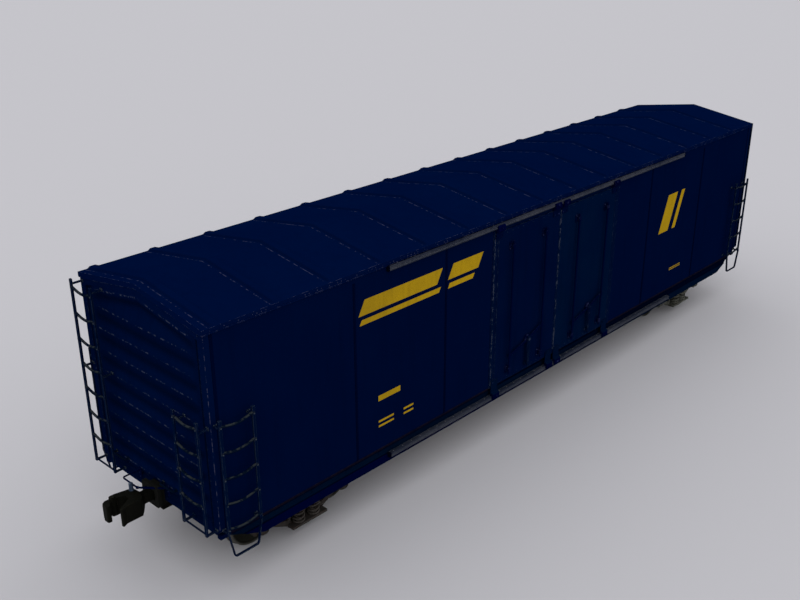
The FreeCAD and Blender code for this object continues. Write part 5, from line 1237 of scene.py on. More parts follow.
@dataclass
class DoorTracks(Twin):
    """The two rails of a side with their end caps and the doors' roller hangers."""

    start: float = -4.605
    stop: float = 4.76
    cap: float = 0.03
    high_z: float = 4.295
    high_back: float = -1.56
    low_z: float = 0.905
    low_back: float = -1.545
    rail_front: float = -1.62
    rail_half: float = 0.0425
    rail_soft: float = 0.014
    door_top: float = 4.165
    door_foot: float = 1.145
    hanger_half: float = 0.095
    hanger_places: Row = (-1.78, -0.06, 0.215, 1.965)
    hanger_front: float = -1.654
    lap_front: float = -1.5983
    lap_back: float = -1.5823

    def rail_outline(self, z: float, back: float, grow: float = 0.0) -> Array:
        """A rail's section: flat behind, with round front corners and a shallow groove in its face."""
        front, soft, half = self.rail_front, self.rail_soft, self.rail_half + grow
        arc = np.linspace(0, math.pi / 2, 6)
        top = np.stack([front + soft - soft * np.sin(arc), z + half - soft + soft * np.cos(arc)], axis=1)
        low = np.stack([top[::-1, 0], 2 * z - top[::-1, 1]], axis=1)
        if grow:
            return np.concatenate([[(back, z + half)], top, low, [(back, z - half)]])
        groove = [(front, z + 0.014), (front + 0.006, z + 0.008), (front + 0.006, z - 0.008),
                  (front, z - 0.014)]
        return np.concatenate([[(back, z + half)], top, groove, low, [(back, z - half)]])

    def both_rails(self, spans: Sequence[Span], grow: float = 0.0) -> Shape:
        """The sections of the upper and the lower rail over each of the spans."""
        return join([extrude(X, self.rail_outline(z, back, grow), span) for span in spans
                     for z, back in ((self.high_z, self.high_back), (self.low_z, self.low_back))])

    def rails(self) -> Shape:
        """The upper and the lower rail between their caps."""
        return self.both_rails([(self.start + self.cap, self.stop - self.cap)])

    def caps(self) -> Shape:
        """The closed ends of the rails."""
        ends = [(self.start, self.start + self.cap), (self.stop - self.cap, self.stop)]
        return self.both_rails(ends, 0.004)

    def rail_bolts(self) -> Shape:
        """Bolt heads on top of the lower rail."""
        top = self.low_z + self.rail_half
        low = line_of((-4.5, -1.585, top), (4.65, -1.585, top), 42)
        return bolts(Z, low, 0.011, 0.008, outward=1.0)

    def shadow_strips(self) -> Shape:
        """Painted shadow: a dark strip over the upper rail and one under the lower rail."""
        span = (self.start + 0.01, self.stop - 0.01)
        over = box(span, (-1.59, -1.559), (4.3375, 4.3455))
        under = box(span, (-1.606, -1.545), (0.8535, 0.8625))
        return join([over, under])

    def hanger_outline(self, track_z: float, door_edge: float, side: float) -> list[Span]:
        """The section of a hanger that wraps a rail and laps over the door's face."""
        near, far = track_z - side * self.rail_half, track_z + side * self.rail_half / 2
        foot, toe = near - side * 0.052, door_edge - side * 0.11
        front, shoulder = self.hanger_front, self.hanger_front + 0.014
        return [(-1.6, far), (shoulder, far), (front, far - side * 0.014), (front, foot + side * 0.016),
                (shoulder, foot), (self.lap_front, foot - side * 0.026), (self.lap_front, toe),
                (self.lap_back, toe), (self.lap_back, near + side * 0.013)]

    def hangers(self, z: float, edge: float, side: float) -> Shape:
        """The four hangers on a rail, each with a roller boss and two bolts on its lap.

        Args:
            z: the height of the rail.
            edge: the height of the door's edge.
            side: 1 where the rail is above the door, -1 where it is below.

        Returns:
            The four hangers in their places.
        """
        body = extrude(X, self.hanger_outline(z, edge, side), (-self.hanger_half, self.hanger_half))
        lap_z = edge - side * 0.075
        heads = bolts(Y, [(x, -1.598, lap_z) for x in (-0.06, 0.06)], 0.016, 0.012)
        boss = lathe(Y, [(-1.64, 0.034), (-1.66, 0.034), (-1.664, 0.028), (-1.664, 0.001)],
                     (0, 0, z - side * 0.012), 16, [0, 0, 0.6, 0.2])
        places = np.array([(x, 0.0, 0.0) for x in self.hanger_places])
        return join([body, heads, boss]).at_all(places)

    def build(self) -> None:
        """Make the side's rails and hangers."""
        high = self.hangers(self.high_z, self.door_top, 1.0)
        low = self.hangers(self.low_z, self.door_foot, -1.0)
        for name, shape, finish, replaced, bevel, slot in (
                ("rails", self.rails(), TRACK, ["door_tracks_" + self.tag], 0.0, "track_grey"),
                ("rail_caps", self.caps(), RAIL_CAP_AND_SHADOW, [], 0.003, "track_grey"),
                ("rail_bolts", self.rail_bolts(), TRACK, [], 0.0, "track_grey"),
                ("rail_shadow_strips", self.shadow_strips(), RAIL_CAP_AND_SHADOW, [], 0.0, "track_grey"),
                ("upper_hangers", high, HANGER_HIGH, [], 0.007, "gear_blue"),
                ("lower_hangers", low, HANGER_LOW, [], 0.007, "gear_blue")):
            self.put(name, shape, finish, slot, replaced, bevel=bevel, steps=3)


@dataclass
class DoorGear(Twin):
    """The lock rods of a side's two doors, with their keepers, cranks, links, hubs and handles.

    Attributes:
        pairs: for each door, the places of its two rods and of its hub along X.
    """

    pairs: tuple[Point, ...] = ((-1.41, -0.41, -0.82), (0.67, 1.67, 1.26))
    rod_z: Span = (1.255, 3.935)
    keeper_levels: Span = (1.355, 3.835)
    seat: float = -1.5823
    hub_z: float = 1.785
    fall: float = 0.17
    hub_front: float = -1.6263
    link_front: float = -1.6403
    link_half: float = 0.023

    def rods(self) -> Shape:
        """The upright lock rods with a soft end each."""
        places = [(x, CAR.rod_y) for pair in self.pairs for x in pair[:2]]
        return join([bar(Z, self.rod_z, at, 0.019, 18) for at in places])

    def keepers(self) -> Shape:
        """A plate, a web, a barrel and four bolts round each rod, twice on each rod."""
        front = self.seat - 0.014
        base = extrude(Y, rounded_block(0.12, 0.15, 0.02), (front, self.seat))
        web = box((-0.0225, 0.0225), (CAR.rod_y, self.seat), (-0.042, 0.042))
        sleeve = barrel(Z, 0.042, 0.034, (0, CAR.rod_y, 0), 24, [0.5, 0.2, 0.2, 0.5])
        heads = bolts(Y, [(x, front, z) for x in (-0.043, 0.043) for z in (-0.056, 0.056)], 0.011, 0.009)
        places = [(x, 0.0, z) for pair in self.pairs for x in pair[:2] for z in self.keeper_levels]
        return join([base, web, sleeve, heads]).at_all(np.array(places))

    def links(self) -> Shape:
        """Cranks on the rods, flat links to the hubs with round eyes, and the hubs."""
        hub = [(self.seat, 0.085), (-1.62, 0.085), (self.hub_front, 0.078), (self.hub_front, 0.058),
               (-1.64, 0.056), (self.link_front, 0.001)]
        worn = np.array([0, 0.3, 0.7, 0, 0.6, 0.2])
        shapes = []
        for left, right, hub_x in self.pairs:
            for x, side in ((left, -1.0), (right, 1.0)):
                z = self.hub_z + side * self.fall
                shapes.append(barrel(Z, 0.04, 0.03, (x, CAR.rod_y, z), 20))
                shapes.append(self.link((hub_x, self.hub_z), (x, z)))
                shapes.append(bolts(Y, [(x, self.link_front - 0.004, z)], 0.015, 0.014))
            shapes.append(lathe(Y, hub, (hub_x, 0, self.hub_z), 32, worn))
        return join(shapes)

    def link(self, start: Span, stop: Span) -> Shape:
        """A flat bar with half-round ends between two points of the door's face."""
        run = np.array(stop) - np.array(start)
        turns = math.atan2(run[1], run[0]) + np.linspace(-math.pi / 2, math.pi / 2, 9)
        arc = self.link_half * np.stack([np.cos(turns), np.sin(turns)], axis=1)
        outline = np.concatenate([np.array(stop) + arc, np.array(start) - arc])
        return extrude(Y, outline, (self.link_front, self.hub_front))

    def handles(self) -> Shape:
        """The hanging handles: a bar that widens upwards, a round eye, a grip groove and a catch."""
        front = self.link_front - 0.022
        grip = [(-0.029, 1.233), (-0.018, 1.217), (0.018, 1.217), (0.029, 1.233), (0.052, 1.82),
                (0.036, 1.85), (-0.036, 1.85), (-0.052, 1.82)]
        eye = [(front + 0.004, 0.036), (front - 0.012, 0.036), (front - 0.016, 0.03), (front - 0.016, 0.001)]
        groove = [(-0.01, 1.32), (0.01, 1.32), (0.016, 1.66), (-0.016, 1.66)]
        one = join([
            extrude(Y, grip, (front, self.link_front)),
            lathe(Y, eye, (0, 0, self.hub_z), 24, [0, 0.2, 0.8, 0.4]),
            extrude(Y, groove, (front - 0.006, front + 0.002)),
            box((-0.03, 0.03), (self.link_front, self.seat), (1.245, 1.305)),
            bolts(Y, [(x, -1.6, 1.275) for x in (-0.045, 0.045)], 0.01, 0.009),
            box((-0.06, 0.06), (-1.601, -1.582), (1.255, 1.295)),
        ])
        return join([one.at_all(np.array([(pair[2], 0.0, 0.0)])) for pair in self.pairs])

    def build(self) -> None:
        """Make the side's door gear."""
        for name, shape, finish, replaced, bevel in (
                ("lock_rods", self.rods(), GEAR, ["door_gear_" + self.tag], 0.0),
                ("rod_keepers", self.keepers(), GEAR, [], 0.0025),
                ("gear_links", self.links(), GEAR, [], 0.002),
                ("door_handles", self.handles(), HANDLE, [], 0.004)):
            self.put(name, shape, finish, "gear_blue", replaced, bevel=bevel)


@dataclass
class Ladder:
    """A ladder of two flat stiles and round rungs, in a frame of its own.

    The first coordinate runs along the rungs, the second out from the wall, and the third up.

    Attributes:
        low: the outer edge of the first stile.
        high: the outer edge of the second stile.
        gap: how far the stiles' faces stand off the wall.
        top: the height of the stiles' tops.
        feet: the heights of the undersides of the feet.
        barred: whether a straight flat bar joins the stiles' lower ends in place of the first rung.
    """

    low: float
    high: float
    gap: float
    top: float
    feet: Row
    barred: bool = False
    foot_z: float = 1.185
    bar_z: float = 1.222
    first_z: float = 1.255
    pitch: float = 0.425
    stile: float = 0.05
    thick: float = 0.034
    rung: float = 0.0215
    rung_steps: int = 15
    sag: float = 0.058

    def rung_levels(self) -> Array:
        """The heights of the rungs, from the bar or the first rung up."""
        levels = np.arange(self.first_z, self.top + 1e-6, self.pitch)
        levels[0] = self.bar_z if self.barred else self.first_z
        return levels

    def stiles(self) -> Shape:
        """The stiles with their feet, and a plate under each foot."""
        shapes = []
        for start in (self.low, self.high - self.stile):
            stop = start + self.stile
            shapes.append(box((start, stop), (self.gap - self.thick, self.gap), (self.foot_z, self.top)))
            for z in self.feet:
                shapes.append(
                    box((start + 0.004, stop - 0.004), (0.0, self.gap - 0.004), (z + 0.002, z + 0.028)))
                shapes.append(box((start - 0.006, stop + 0.006), (-0.004, 0.008), (z - 0.012, z + 0.042)))
        if self.barred:
            shapes.append(box((self.low + 0.01, self.high - 0.01), (self.gap - 0.026, self.gap - 0.01),
                              (self.bar_z - 0.017, self.bar_z + 0.017)))
        return join(shapes)

    def heads(self) -> Shape:
        """A bolt at each end of each rung, and two on each foot's plate."""
        middles = (self.low + self.stile / 2, self.high - self.stile / 2)
        ends = [(u, self.gap, z) for u in middles for z in self.rung_levels()]
        feet = [(u + side * 0.022, 0.008, z + 0.036) for u in middles for z in self.feet for side in (-1, 1)]
        return join([bolts(Y, ends, 0.013, 0.009, 1.0), bolts(Y, feet, 0.009, 0.007, 1.0)])

    def rungs(self) -> Shape:
        """The rungs: bars that hang from stile to stile by the sag times the sine of pi times the share."""
        share = np.linspace(0, 1, self.rung_steps)
        low, high = self.low + 0.016, self.high - 0.016
        path = np.stack([low + (high - low) * share, np.full(self.rung_steps, self.gap - self.thick / 2),
                         self.sag * (0.4 - np.sin(math.pi * share))], axis=1)
        one = sweep(path, circle(self.rung, 12), (0, 1, 0))
        one.wear = np.tile(np.clip(circle(1.0, 12)[:, 0] * 1.4, 0, 1), self.rung_steps) * 0.85
        levels = self.rung_levels()[1 if self.barred else 0:]
        return one.at_all(np.stack([0 * levels, 0 * levels, levels], axis=1))


class Wall(Enum):
    """The wall that a ladder stands on."""

    END = "end"
    SIDE = "side"


def on_wall(wall: Wall, shape: Shape) -> Shape:
    """A shape from a ladder's own frame, stood on the near end or on the right side."""
    along, out, up = shape.points.T
    if wall is Wall.END:
        points = np.stack([-CAR.half_length - out, along, up], axis=1)
    else:
        points = np.stack([along, -CAR.half_width - out, up], axis=1)
    return Shape(points, shape.faces, shape.wear)


@dataclass
class Ladders(Twin):
    """The ladders of an end or of a side."""

    def put_ladders(self, wall: Wall, ladders: Sequence[Ladder]) -> None:
        """Make the stiles, the rungs and the bolts of the ladders on a wall."""
        kind = wall.value + "_ladder"
        stiles, rungs, heads = (on_wall(wall, join([part(ladder) for ladder in ladders]))
                                for part in (Ladder.stiles, Ladder.rungs, Ladder.heads))
        self.put(kind + "_stiles", stiles, LADDER, "gear_blue", [kind + "s_" + self.tag], bevel=0.005)
        self.put(kind + "_rungs", rungs, RUNG, "gear_blue")
        self.put(kind + "_bolts", heads, LADDER, "gear_blue")


@dataclass
class EndLadders(Ladders):
    """The tall and the short ladder of an end, and its two grab irons."""

    across: Span = (0.915, 1.515)
    gap: float = 0.2
    tall_top: float = 4.375
    tall_feet: Row = (1.185, 2.885, 4.277)
    short_top: float = 3.075
    grabs: Spans = ((0.792, 1.128), (-0.518, -0.182))
    grab_z: float = 1.44
    grab_reach: float = 0.07

    def grab_irons(self) -> Shape:
        """Bent bars on round flanges, each flange with a soft rim."""
        wall, z = -CAR.half_length, self.grab_z
        back, front = wall + 0.004, wall - self.grab_reach
        profile = [(back, 0.03), (wall - 0.007, 0.03), (wall - 0.01, 0.026), (wall - 0.01, 0.001)]
        shapes = []
        for low, high in self.grabs:
            path = [(back, low, z), (front, low, z), (front, high, z), (back, high, z)]
            shapes.append(tube(path, 0.0185, (0, 0, 1), 0.035))
            for y in (low, high):
                shapes.append(lathe(X, profile, (0, y, z), 20, [0, 0.4, 0.9, 0.3]))
        return join(shapes)

    def build(self) -> None:
        """Make the end's ladders and grab irons."""
        low, high = self.across
        self.put_ladders(Wall.END, [
            Ladder(low, high, self.gap, self.tall_top, self.tall_feet, True),
            Ladder(-high, -low, self.gap, self.short_top, self.tall_feet[:2], True)])
        self.put("grab_irons", self.grab_irons(), RUNG, "gear_blue")


@dataclass
class SideLadders(Ladders):
    """The two ladders of a side with their sill steps."""

    starts: tuple[float, float] = (-8.05, 7.42)
    width: float = 0.63
    gap: float = 0.141
    top: float = 3.075
    feet: Span = (1.185, 2.925)
    step_y: float = -1.6875
    step_low: float = 0.755
    step_top: float = 1.215
    step_half: float = 0.008
    slant: float = 0.09

    def steps(self) -> Shape:
        """Sill steps: a flat bar bent down from one stile, across and up to the other."""
        section = rounded_block(2 * self.step_half, 0.045, 0.004, 2)
        y, low = self.step_y, self.step_low + self.step_half
        shapes = []
        for start in self.starts:
            stop = start + self.width
            corners = [
                (start + self.step_half, y, self.step_top), (start + self.slant + self.step_half, y, low),
                (stop - self.slant - self.step_half, y, low), (stop - self.step_half, y, self.step_top)]
            shapes.append(sweep(rounded(corners, 0.035), section, (0, 1, 0)))
        return join(shapes)

    def build(self) -> None:
        """Make the side's ladders and steps."""
        self.put_ladders(
            Wall.SIDE, [Ladder(x, x + self.width, self.gap, self.top, self.feet) for x in self.starts])
        self.put("sill_steps", self.steps(), LADDER, "gear_blue")


@dataclass
class Coupling(Twin):
    """A coupler with its knuckle and its pins, and the uncoupling lever beside it."""

    head_top: float = 0.15
    pin_place: Span = (-0.7, 0.14)
    lifter_place: Span = (-0.4, 0.1)
    lever_z: float = 1.38
    reach: float = 0.32
    lever_y: float = 0.465
    eye_y: float = 0.06
    brace_y: float = -0.3
    plate_z: float = 1.3245
    plate_levels: Span = (1.255, 1.325)

    def on_head(self, place: Span, profile: Sequence[Span], wear: Sequence[float]) -> Shape:
        """A profile turned about an upright axis that stands on the coupler's head."""
        raised = np.array(profile) + np.array([CAR.coupler_z + self.head_top, 0.0])
        return lathe(Z, raised, (place[0] - CAR.half_length, place[1], 0), 24, np.array(wear))

    def knuckle_pin(self) -> Shape:
        """The knuckle pin's head, with a soft rim."""
        profile = [(-0.004, 0.036), (0.014, 0.036), (0.019, 0.03), (0.019, 0.001)]
        return self.on_head(self.pin_place, profile, [0, 0.2, 0.4, 0.2])

    def lock_lifter(self) -> Shape:
        """The lock lifter that stands on the coupler's head, with a foot and a soft rim."""
        profile = [(-0.004, 0.042), (0.01, 0.04), (0.016, 0.034), (0.118, 0.034), (0.126, 0.028),
                   (0.126, 0.001)]
        return self.on_head(self.lifter_place, profile, [0, 0.5, 0.2, 0.2, 0.9, 0.4])

    def lever(self) -> Shape:
        """The bent lift rod with its wall plates, their bolts, its flat brace and its eye."""
        wall, z = -CAR.half_length, self.lever_z
        back, front, plate_x = wall - 0.006, wall - self.reach, wall - 0.012
        path = [(back, self.lever_y, z), (front, self.lever_y, z), (front, self.eye_y, z)]
        shapes = [tube(path, 0.014, (0, 0, 1), 0.045)]
        for y in (self.lever_y, self.brace_y):
            outline = rounded_block(0.06, 0.189, 0.012) + np.array([y, self.plate_z])
            shapes.append(extrude(X, outline, (plate_x, wall + 0.002)))
            shapes.append(bolts(X, [(plate_x, y, level) for level in self.plate_levels], 0.012, 0.009))
        run = np.array([(front, self.eye_y, z), (back, self.brace_y, z)])
        shapes.append(sweep(run, rounded_block(0.04, 0.016, 0.004, 2), (0, 0, 1)))
        return join(shapes + [barrel(Z, 0.016, 0.026, (front, self.eye_y, z), 20)])

    def build(self) -> None:
        """Make the end's coupling."""
        body, knuckle, slot = "coupler_" + self.tag, "knuckle_" + self.tag, "coupler_steel"
        recast("coupler_casting_" + self.tag, body, COUPLER, body, 0.007)
        recast("knuckle_casting_" + self.tag, knuckle, COUPLER, knuckle, 0.008)
        self.put("knuckle_pin", self.knuckle_pin(), COUPLER, slot, body=body)
        self.put("lock_lifter", self.lock_lifter(), PIN, slot, body=body)
        replaced = [] if self.half.value else ["uncoupling_levers"]
        self.put("uncoupling_lever", self.lever(), GEAR, "gear_blue", replaced, bevel=0.002)


@dataclass
class Truck:
    """A truck under one end: castings with soft edges, coil springs and two wheelsets."""

    end: str
    x: float
    casting: Finish
    spring: Finish
    foot_z: float = 0.26
    spring_height: float = 0.25
    outer_coil: Row = (0.0955, 0.0158, 4.2, 1.0)
    inner_coil: Row = (0.056, 0.0105, 6.0, -1.0)
    nest_place: Span = (0.16, 0.1025)
    turn_steps: int = 18
    flat_turns: float = 0.6
    frame_face: float = -1.105
    bolt_places: Spans = (
        (0.335, 0.62), (0.335, 0.56), (0.335, 0.33), (0.864, 0.618), (0.8, 0.61), (0.928, 0.61))

    def coil(self, radius: float, wire: float, turns: float, hand: float) -> Shape:
        """A coil spring about Z.

        Its line at angle a is radius times the cosine and the sine of a, and rises with a, but
        stays level over the flat turns at its foot and its head.
        """
        t = np.linspace(0, 1, int(turns * self.turn_steps) + 1)
        angle = hand * 2 * math.pi * turns * t
        flat = self.flat_turns / turns
        rise = np.clip((t - flat) / (1 - 2 * flat), 0, 1)
        rise = 0.5 * rise + 0.5 * smooth(rise)
        low, high = self.foot_z + wire, self.foot_z + self.spring_height - wire
        level = low + (high - low) * rise
        line = np.stack([radius * np.cos(angle), radius * np.sin(angle), level], axis=1)
        out = np.stack([np.cos(angle), np.sin(angle), np.zeros_like(angle)], axis=1)
        section, up = circle(wire, 8), np.array([0.0, 0.0, 1.0])
        return skin(line[:, None] + section[None, :, :1] * out[:, None] + section[None, :, 1:] * up)

    def springs(self) -> Shape:
        """Four nests of an outer and an inner coil on each side frame's shelf."""
        nest = join([self.coil(*self.outer_coil), self.coil(*self.inner_coil)])
        along, apart = self.nest_place
        places = np.array([(self.x + sx * along, sy * CAR.frame_y + dy * apart, 0.0)
                           for sx in (-1, 1) for sy in (-1, 1) for dy in (-1, 1)])
        return nest.at_all(places)

    def frame_bolts(self) -> Shape:
        """Bolts on the faces of both side frames, round their columns and over the jaws."""
        near = [(self.x + sx * x, self.frame_face, z) for sx in (-1, 1) for x, z in self.bolt_places]
        shape = bolts(Y, near, 0.016, 0.011)
        return join([shape, shape.flipped(Y)])

    def build(self) -> None:
        """Make the truck's pieces."""
        body = "truck_" + self.end
        slot = "truck_steel"
        recast(body + "_bolster_casting", body + "_bolster", self.casting, body, 0.01)
        recast(body + "_frame_castings", body + "_side_frames", self.casting, body, 0.009)
        recast(body + "_beam_castings", body + "_brake_beams", self.casting, body, 0.004, 2)
        make(body + "_coils", self.springs(), self.spring, body, slot, [body + "_springs"], angle=80)
        make(body + "_bolts", self.frame_bolts(), self.casting, body, slot)
        for index, side in ((1, -1.0), (2, 1.0)):
            Wheelset("%s%d" % (self.end, index), self.x + side * CAR.axle_x, self.casting).build()


@dataclass
class Wheelset:
    """Two wheels on an axle, with a bearing and a bolted cap on each journal."""

    tag: str
    x: float
    casting: Finish

    def wheel(self) -> Shape:
        """A wheel's section turned about the axle: hub, dished plate, rim, tread and flange."""
        profile = np.array([
            (0.6585, 0.079), (0.6585, 0.124), (0.661, 0.13), (0.668, 0.136), (0.69, 0.146), (0.7045, 0.16),
            (0.715, 0.185), (0.733, 0.245), (0.752, 0.31), (0.756, 0.33), (0.752, 0.345), (0.735, 0.356),
            (0.7, 0.362), (0.679, 0.364), (0.6745, 0.369), (0.6745, 0.432), (0.6765, 0.44), (0.682, 0.444),
            (0.69, 0.444), (0.696, 0.441), (0.701, 0.433), (0.7045, 0.425), (0.71, 0.4195),
            (0.718, 0.4185), (0.79, 0.4145), (0.814, 0.4132), (0.819, 0.4105), (0.8205, 0.406),
            (0.8205, 0.37), (0.816, 0.364), (0.802, 0.359), (0.793, 0.348), (0.789, 0.33), (0.783, 0.308),
            (0.762, 0.245), (0.744, 0.19), (0.74, 0.17), (0.748, 0.15), (0.77, 0.14), (0.83, 0.132),
            (0.8365, 0.126), (0.8365, 0.079)])
        on_tread = (profile[:, 1] > 0.405) & (profile[:, 0] > 0.7)
        return lathe(Y, profile, (self.x, 0, CAR.axle_z), 72, on_tread * 1.0)

    def axle(self) -> Shape:
        """The axle's half section and its mirror image, turned."""
        half = np.array([(0.0, 0.08), (0.5385, 0.08), (0.64, 0.0925), (0.6585, 0.095), (0.8365, 0.095),
                         (0.85, 0.079), (0.859, 0.072), (0.93, 0.072)])
        profile = np.concatenate([half[::-1] * np.array([-1, 1]), half[1:]])
        return lathe(Y, profile, (self.x, 0, CAR.axle_z), 40)

    def bearing(self) -> Shape:
        """A bearing with its seal ring, its end cap and three cap bolts."""
        profile = np.array([
            (0.91, 0.07), (0.91, 0.089), (0.913, 0.092), (0.945, 0.092), (0.945, 0.106),
            (0.949, 0.11), (1.131, 0.11), (1.135, 0.106), (1.135, 0.078), (1.148, 0.072),
            (1.176, 0.072), (1.18, 0.068), (1.18, 0.02), (1.176, 0.016), (1.176, 0.001)])
        shell = lathe(Y, profile, (self.x, 0, CAR.axle_z), 40)
        at = circle(0.046, 3, math.pi / 2)
        places = [(self.x + x, 1.18, CAR.axle_z + z) for x, z in at]
        return join([shell, bolts(Y, places, 0.014, 0.012, 1.0)])

    def build(self) -> None:
        """Make the wheelset's pieces."""
        body, slot = "wheelset_" + self.tag, "wheel_steel"
        wheel, bearing = self.wheel(), self.bearing()
        rolling = join([wheel, wheel.flipped(Y), self.axle()])
        make("wheels_" + self.tag, rolling, WHEEL, body, slot, [body], angle=45)
        make("bearings_" + self.tag, join([bearing, bearing.flipped(Y)]), self.casting, body, slot)


@dataclass
class HandBrake:
    """The hand wheel with its case, rod and bell crank, and the grating platform under it."""

    x: float = 8.095
    y: float = -0.52
    z: float = 2.755
    wheel_x: float = 8.325
    rim: float = 0.28
    rim_steps: int = 56
    spokes: int = 6
    hub: float = 0.03
    deck_z: float = 1.525
    deck_thick: float = 0.03
    deck_half: float = 0.38
    deck_reach: float = 0.23
    frame: float = 0.008
    foot_z: float = 1.185
    leg_half: float = 0.19
    long_bars: int = 7
    long_pitch: float = 0.0285
    cross_bars: int = 14
    cross_pitch: float = 0.0509

    def about(self, out: float, over: float, up: float) -> Point:
        """A point from its distance off the wall and its places beside and over the wheel's axis."""
        return self.x + out, self.y + over, self.z + up

    def wheel(self) -> Shape:
        """A round rim, a hub and six spokes that bow from the rim back to the hub."""
        angle = np.arange(self.rim_steps) * 2 * math.pi / self.rim_steps
        path = np.stack([np.full(self.rim_steps, self.wheel_x), self.y + self.rim * np.cos(angle),
                         self.z + self.rim * np.sin(angle)], axis=1)
        shapes = [sweep(path, circle(0.0168, 10), (1, 0, 0), closed=True)]
        t = np.linspace(0, 1, 9)
        for turn in np.arange(self.spokes) * math.pi / 3:
            reach = self.hub + (self.rim - self.hub) * t
            bow = self.wheel_x - self.hub * (1 - t) ** 1.5
            line = np.stack([bow, self.y + reach * math.cos(turn), self.z + reach * math.sin(turn)], axis=1)
            normal = (0.0, -math.sin(turn), math.cos(turn))
            shapes.append(sweep(line, circle(0.0105, 8), normal))
        hub = [(-0.052, 0.03), (-0.048, 0.046), (-0.006, 0.046), (0.002, 0.036), (0.002, 0.024),
               (0.016, 0.022), (0.0168, 0.001)]
        hub = [(self.wheel_x + along, radius) for along, radius in hub]
        shapes.append(lathe(X, hub, (0, self.y, self.z), 28, [0, 0.3, 0.5, 0.8, 0.2, 0.8, 0.3]))
        return join(shapes)

    def case(self) -> Shape:
        """The case on its backing plate, with a raised cover, its bolts and a release lever."""
        x, y, z = self.x, self.y, self.z
        middle = np.array([y, z])
        body = extrude(X, rounded_block(0.25, 0.3, 0.06) + middle, (x + 0.01, x + 0.125))
        cover = extrude(X, rounded_block(0.2, 0.25, 0.055) + middle, (x + 0.12, x + 0.148))
        backing = box((x, x + 0.014), (y - 0.125, y + 0.125), (z - 0.219, z + 0.219))
        corners = [self.about(0.014, sy * 0.105, sz * 0.195) for sy in (-1, 1) for sz in (-1, 1)]
        ring = circle(0.085, 6) * np.array([1.0, 1.25])
        places = [self.about(0.148, over, up) for over, up in ring]
        lever = tube([self.about(0.07, 0.12, 0.02), self.about(0.07, 0.2, 0.02),
                      self.about(0.07, 0.2, -0.1)], 0.01, (1, 0, 0), 0.03)
        shaft = bar(X, (x + 0.14, self.wheel_x - 0.04), (y, z), 0.022)
        return join([body, cover, backing, lever, shaft, bolts(X, corners, 0.014, 0.01, 1.0),
                     bolts(X, places, 0.01, 0.008, 1.0)])

    def pull_rod(self) -> Shape:
        """The rod from the case down through the platform, with a guide and a forked foot."""
        x, y, wall = self.x + 0.075, self.y, self.x - 0.002
        rod = bar(Z, (self.foot_z, self.z - 0.13), (x, y), 0.0128)
        fork = box((x - 0.02, x + 0.02), (y - 0.022, y + 0.022), (1.187, 1.255))
        guide = box((wall, x + 0.026), (y - 0.024, y + 0.024), (1.15, 1.178))
        crank = box((wall, x + 0.018), (y - 0.008, y + 0.008), (1.175, 1.24))
        return join([rod, fork, guide, crank])

    def platform(self) -> Shape:
        """A grating of flat bars in a frame, on two legs with gussets."""
        low, high = self.deck_z - self.deck_thick, self.deck_z
        y0, y1 = self.y - self.deck_half, self.y + self.deck_half
        x0, x1 = self.x, self.x + self.deck_reach
        thin = self.frame
        shapes = [box((x0, x1), span, (low, high)) for span in ((y0, y0 + thin), (y1 - thin, y1))]
        shapes += [box(span, (y0, y1), (low, high)) for span in ((x0, x0 + thin), (x1 - thin, x1))]
        long_bar = box((-0.003, 0.003), (y0, y1), (low + 0.004, high - 0.001))
        runs = np.array([(x0 + 0.03 + self.long_pitch * i, 0.0, 0.0) for i in range(self.long_bars)])
        cross_bar = box((x0, x1), (-0.003, 0.003), (low + 0.012, high - 0.003))
        crosses = np.array([(0.0, y0 + 0.05 + self.cross_pitch * i, 0.0) for i in range(self.cross_bars)])
        shapes += [long_bar.at_all(runs), cross_bar.at_all(crosses)]
        gusset = [(x0, high - 0.02), (x0, high - 0.23), (x0 + 0.012, high - 0.23),
                  (x0 + 0.172, high - 0.034), (x0 + 0.172, high - 0.02)]
        for at in (self.y - self.leg_half, self.y + self.leg_half):
            shapes.append(box((x0, x0 + 0.014), (at - 0.03, at + 0.03), (self.foot_z, high - 0.012)))
            shapes.append(extrude(Y, gusset, (at - 0.006, at + 0.006)))
            shapes.append(bolts(X, [(x0 + 0.014, at, z) for z in (1.21, 1.29)], 0.012, 0.009, 1.0))
        return join(shapes)

    def build(self) -> None:
        """Make the hand brake and its platform."""
        for name, shape, finish, replaced, bevel in (
                ("brake_hand_wheel", self.wheel(), GEAR, ["hand_brake"], 0.0),
                ("brake_case", self.case(), GEAR, [], 0.006),
                ("brake_pull_rod", self.pull_rod(), GEAR, [], 0.003),
                ("platform_grating", self.platform(), LADDER, ["brake_platform"], 0.0012)):
            make(name, shape, finish, "car_body", "gear_blue", replaced, bevel)


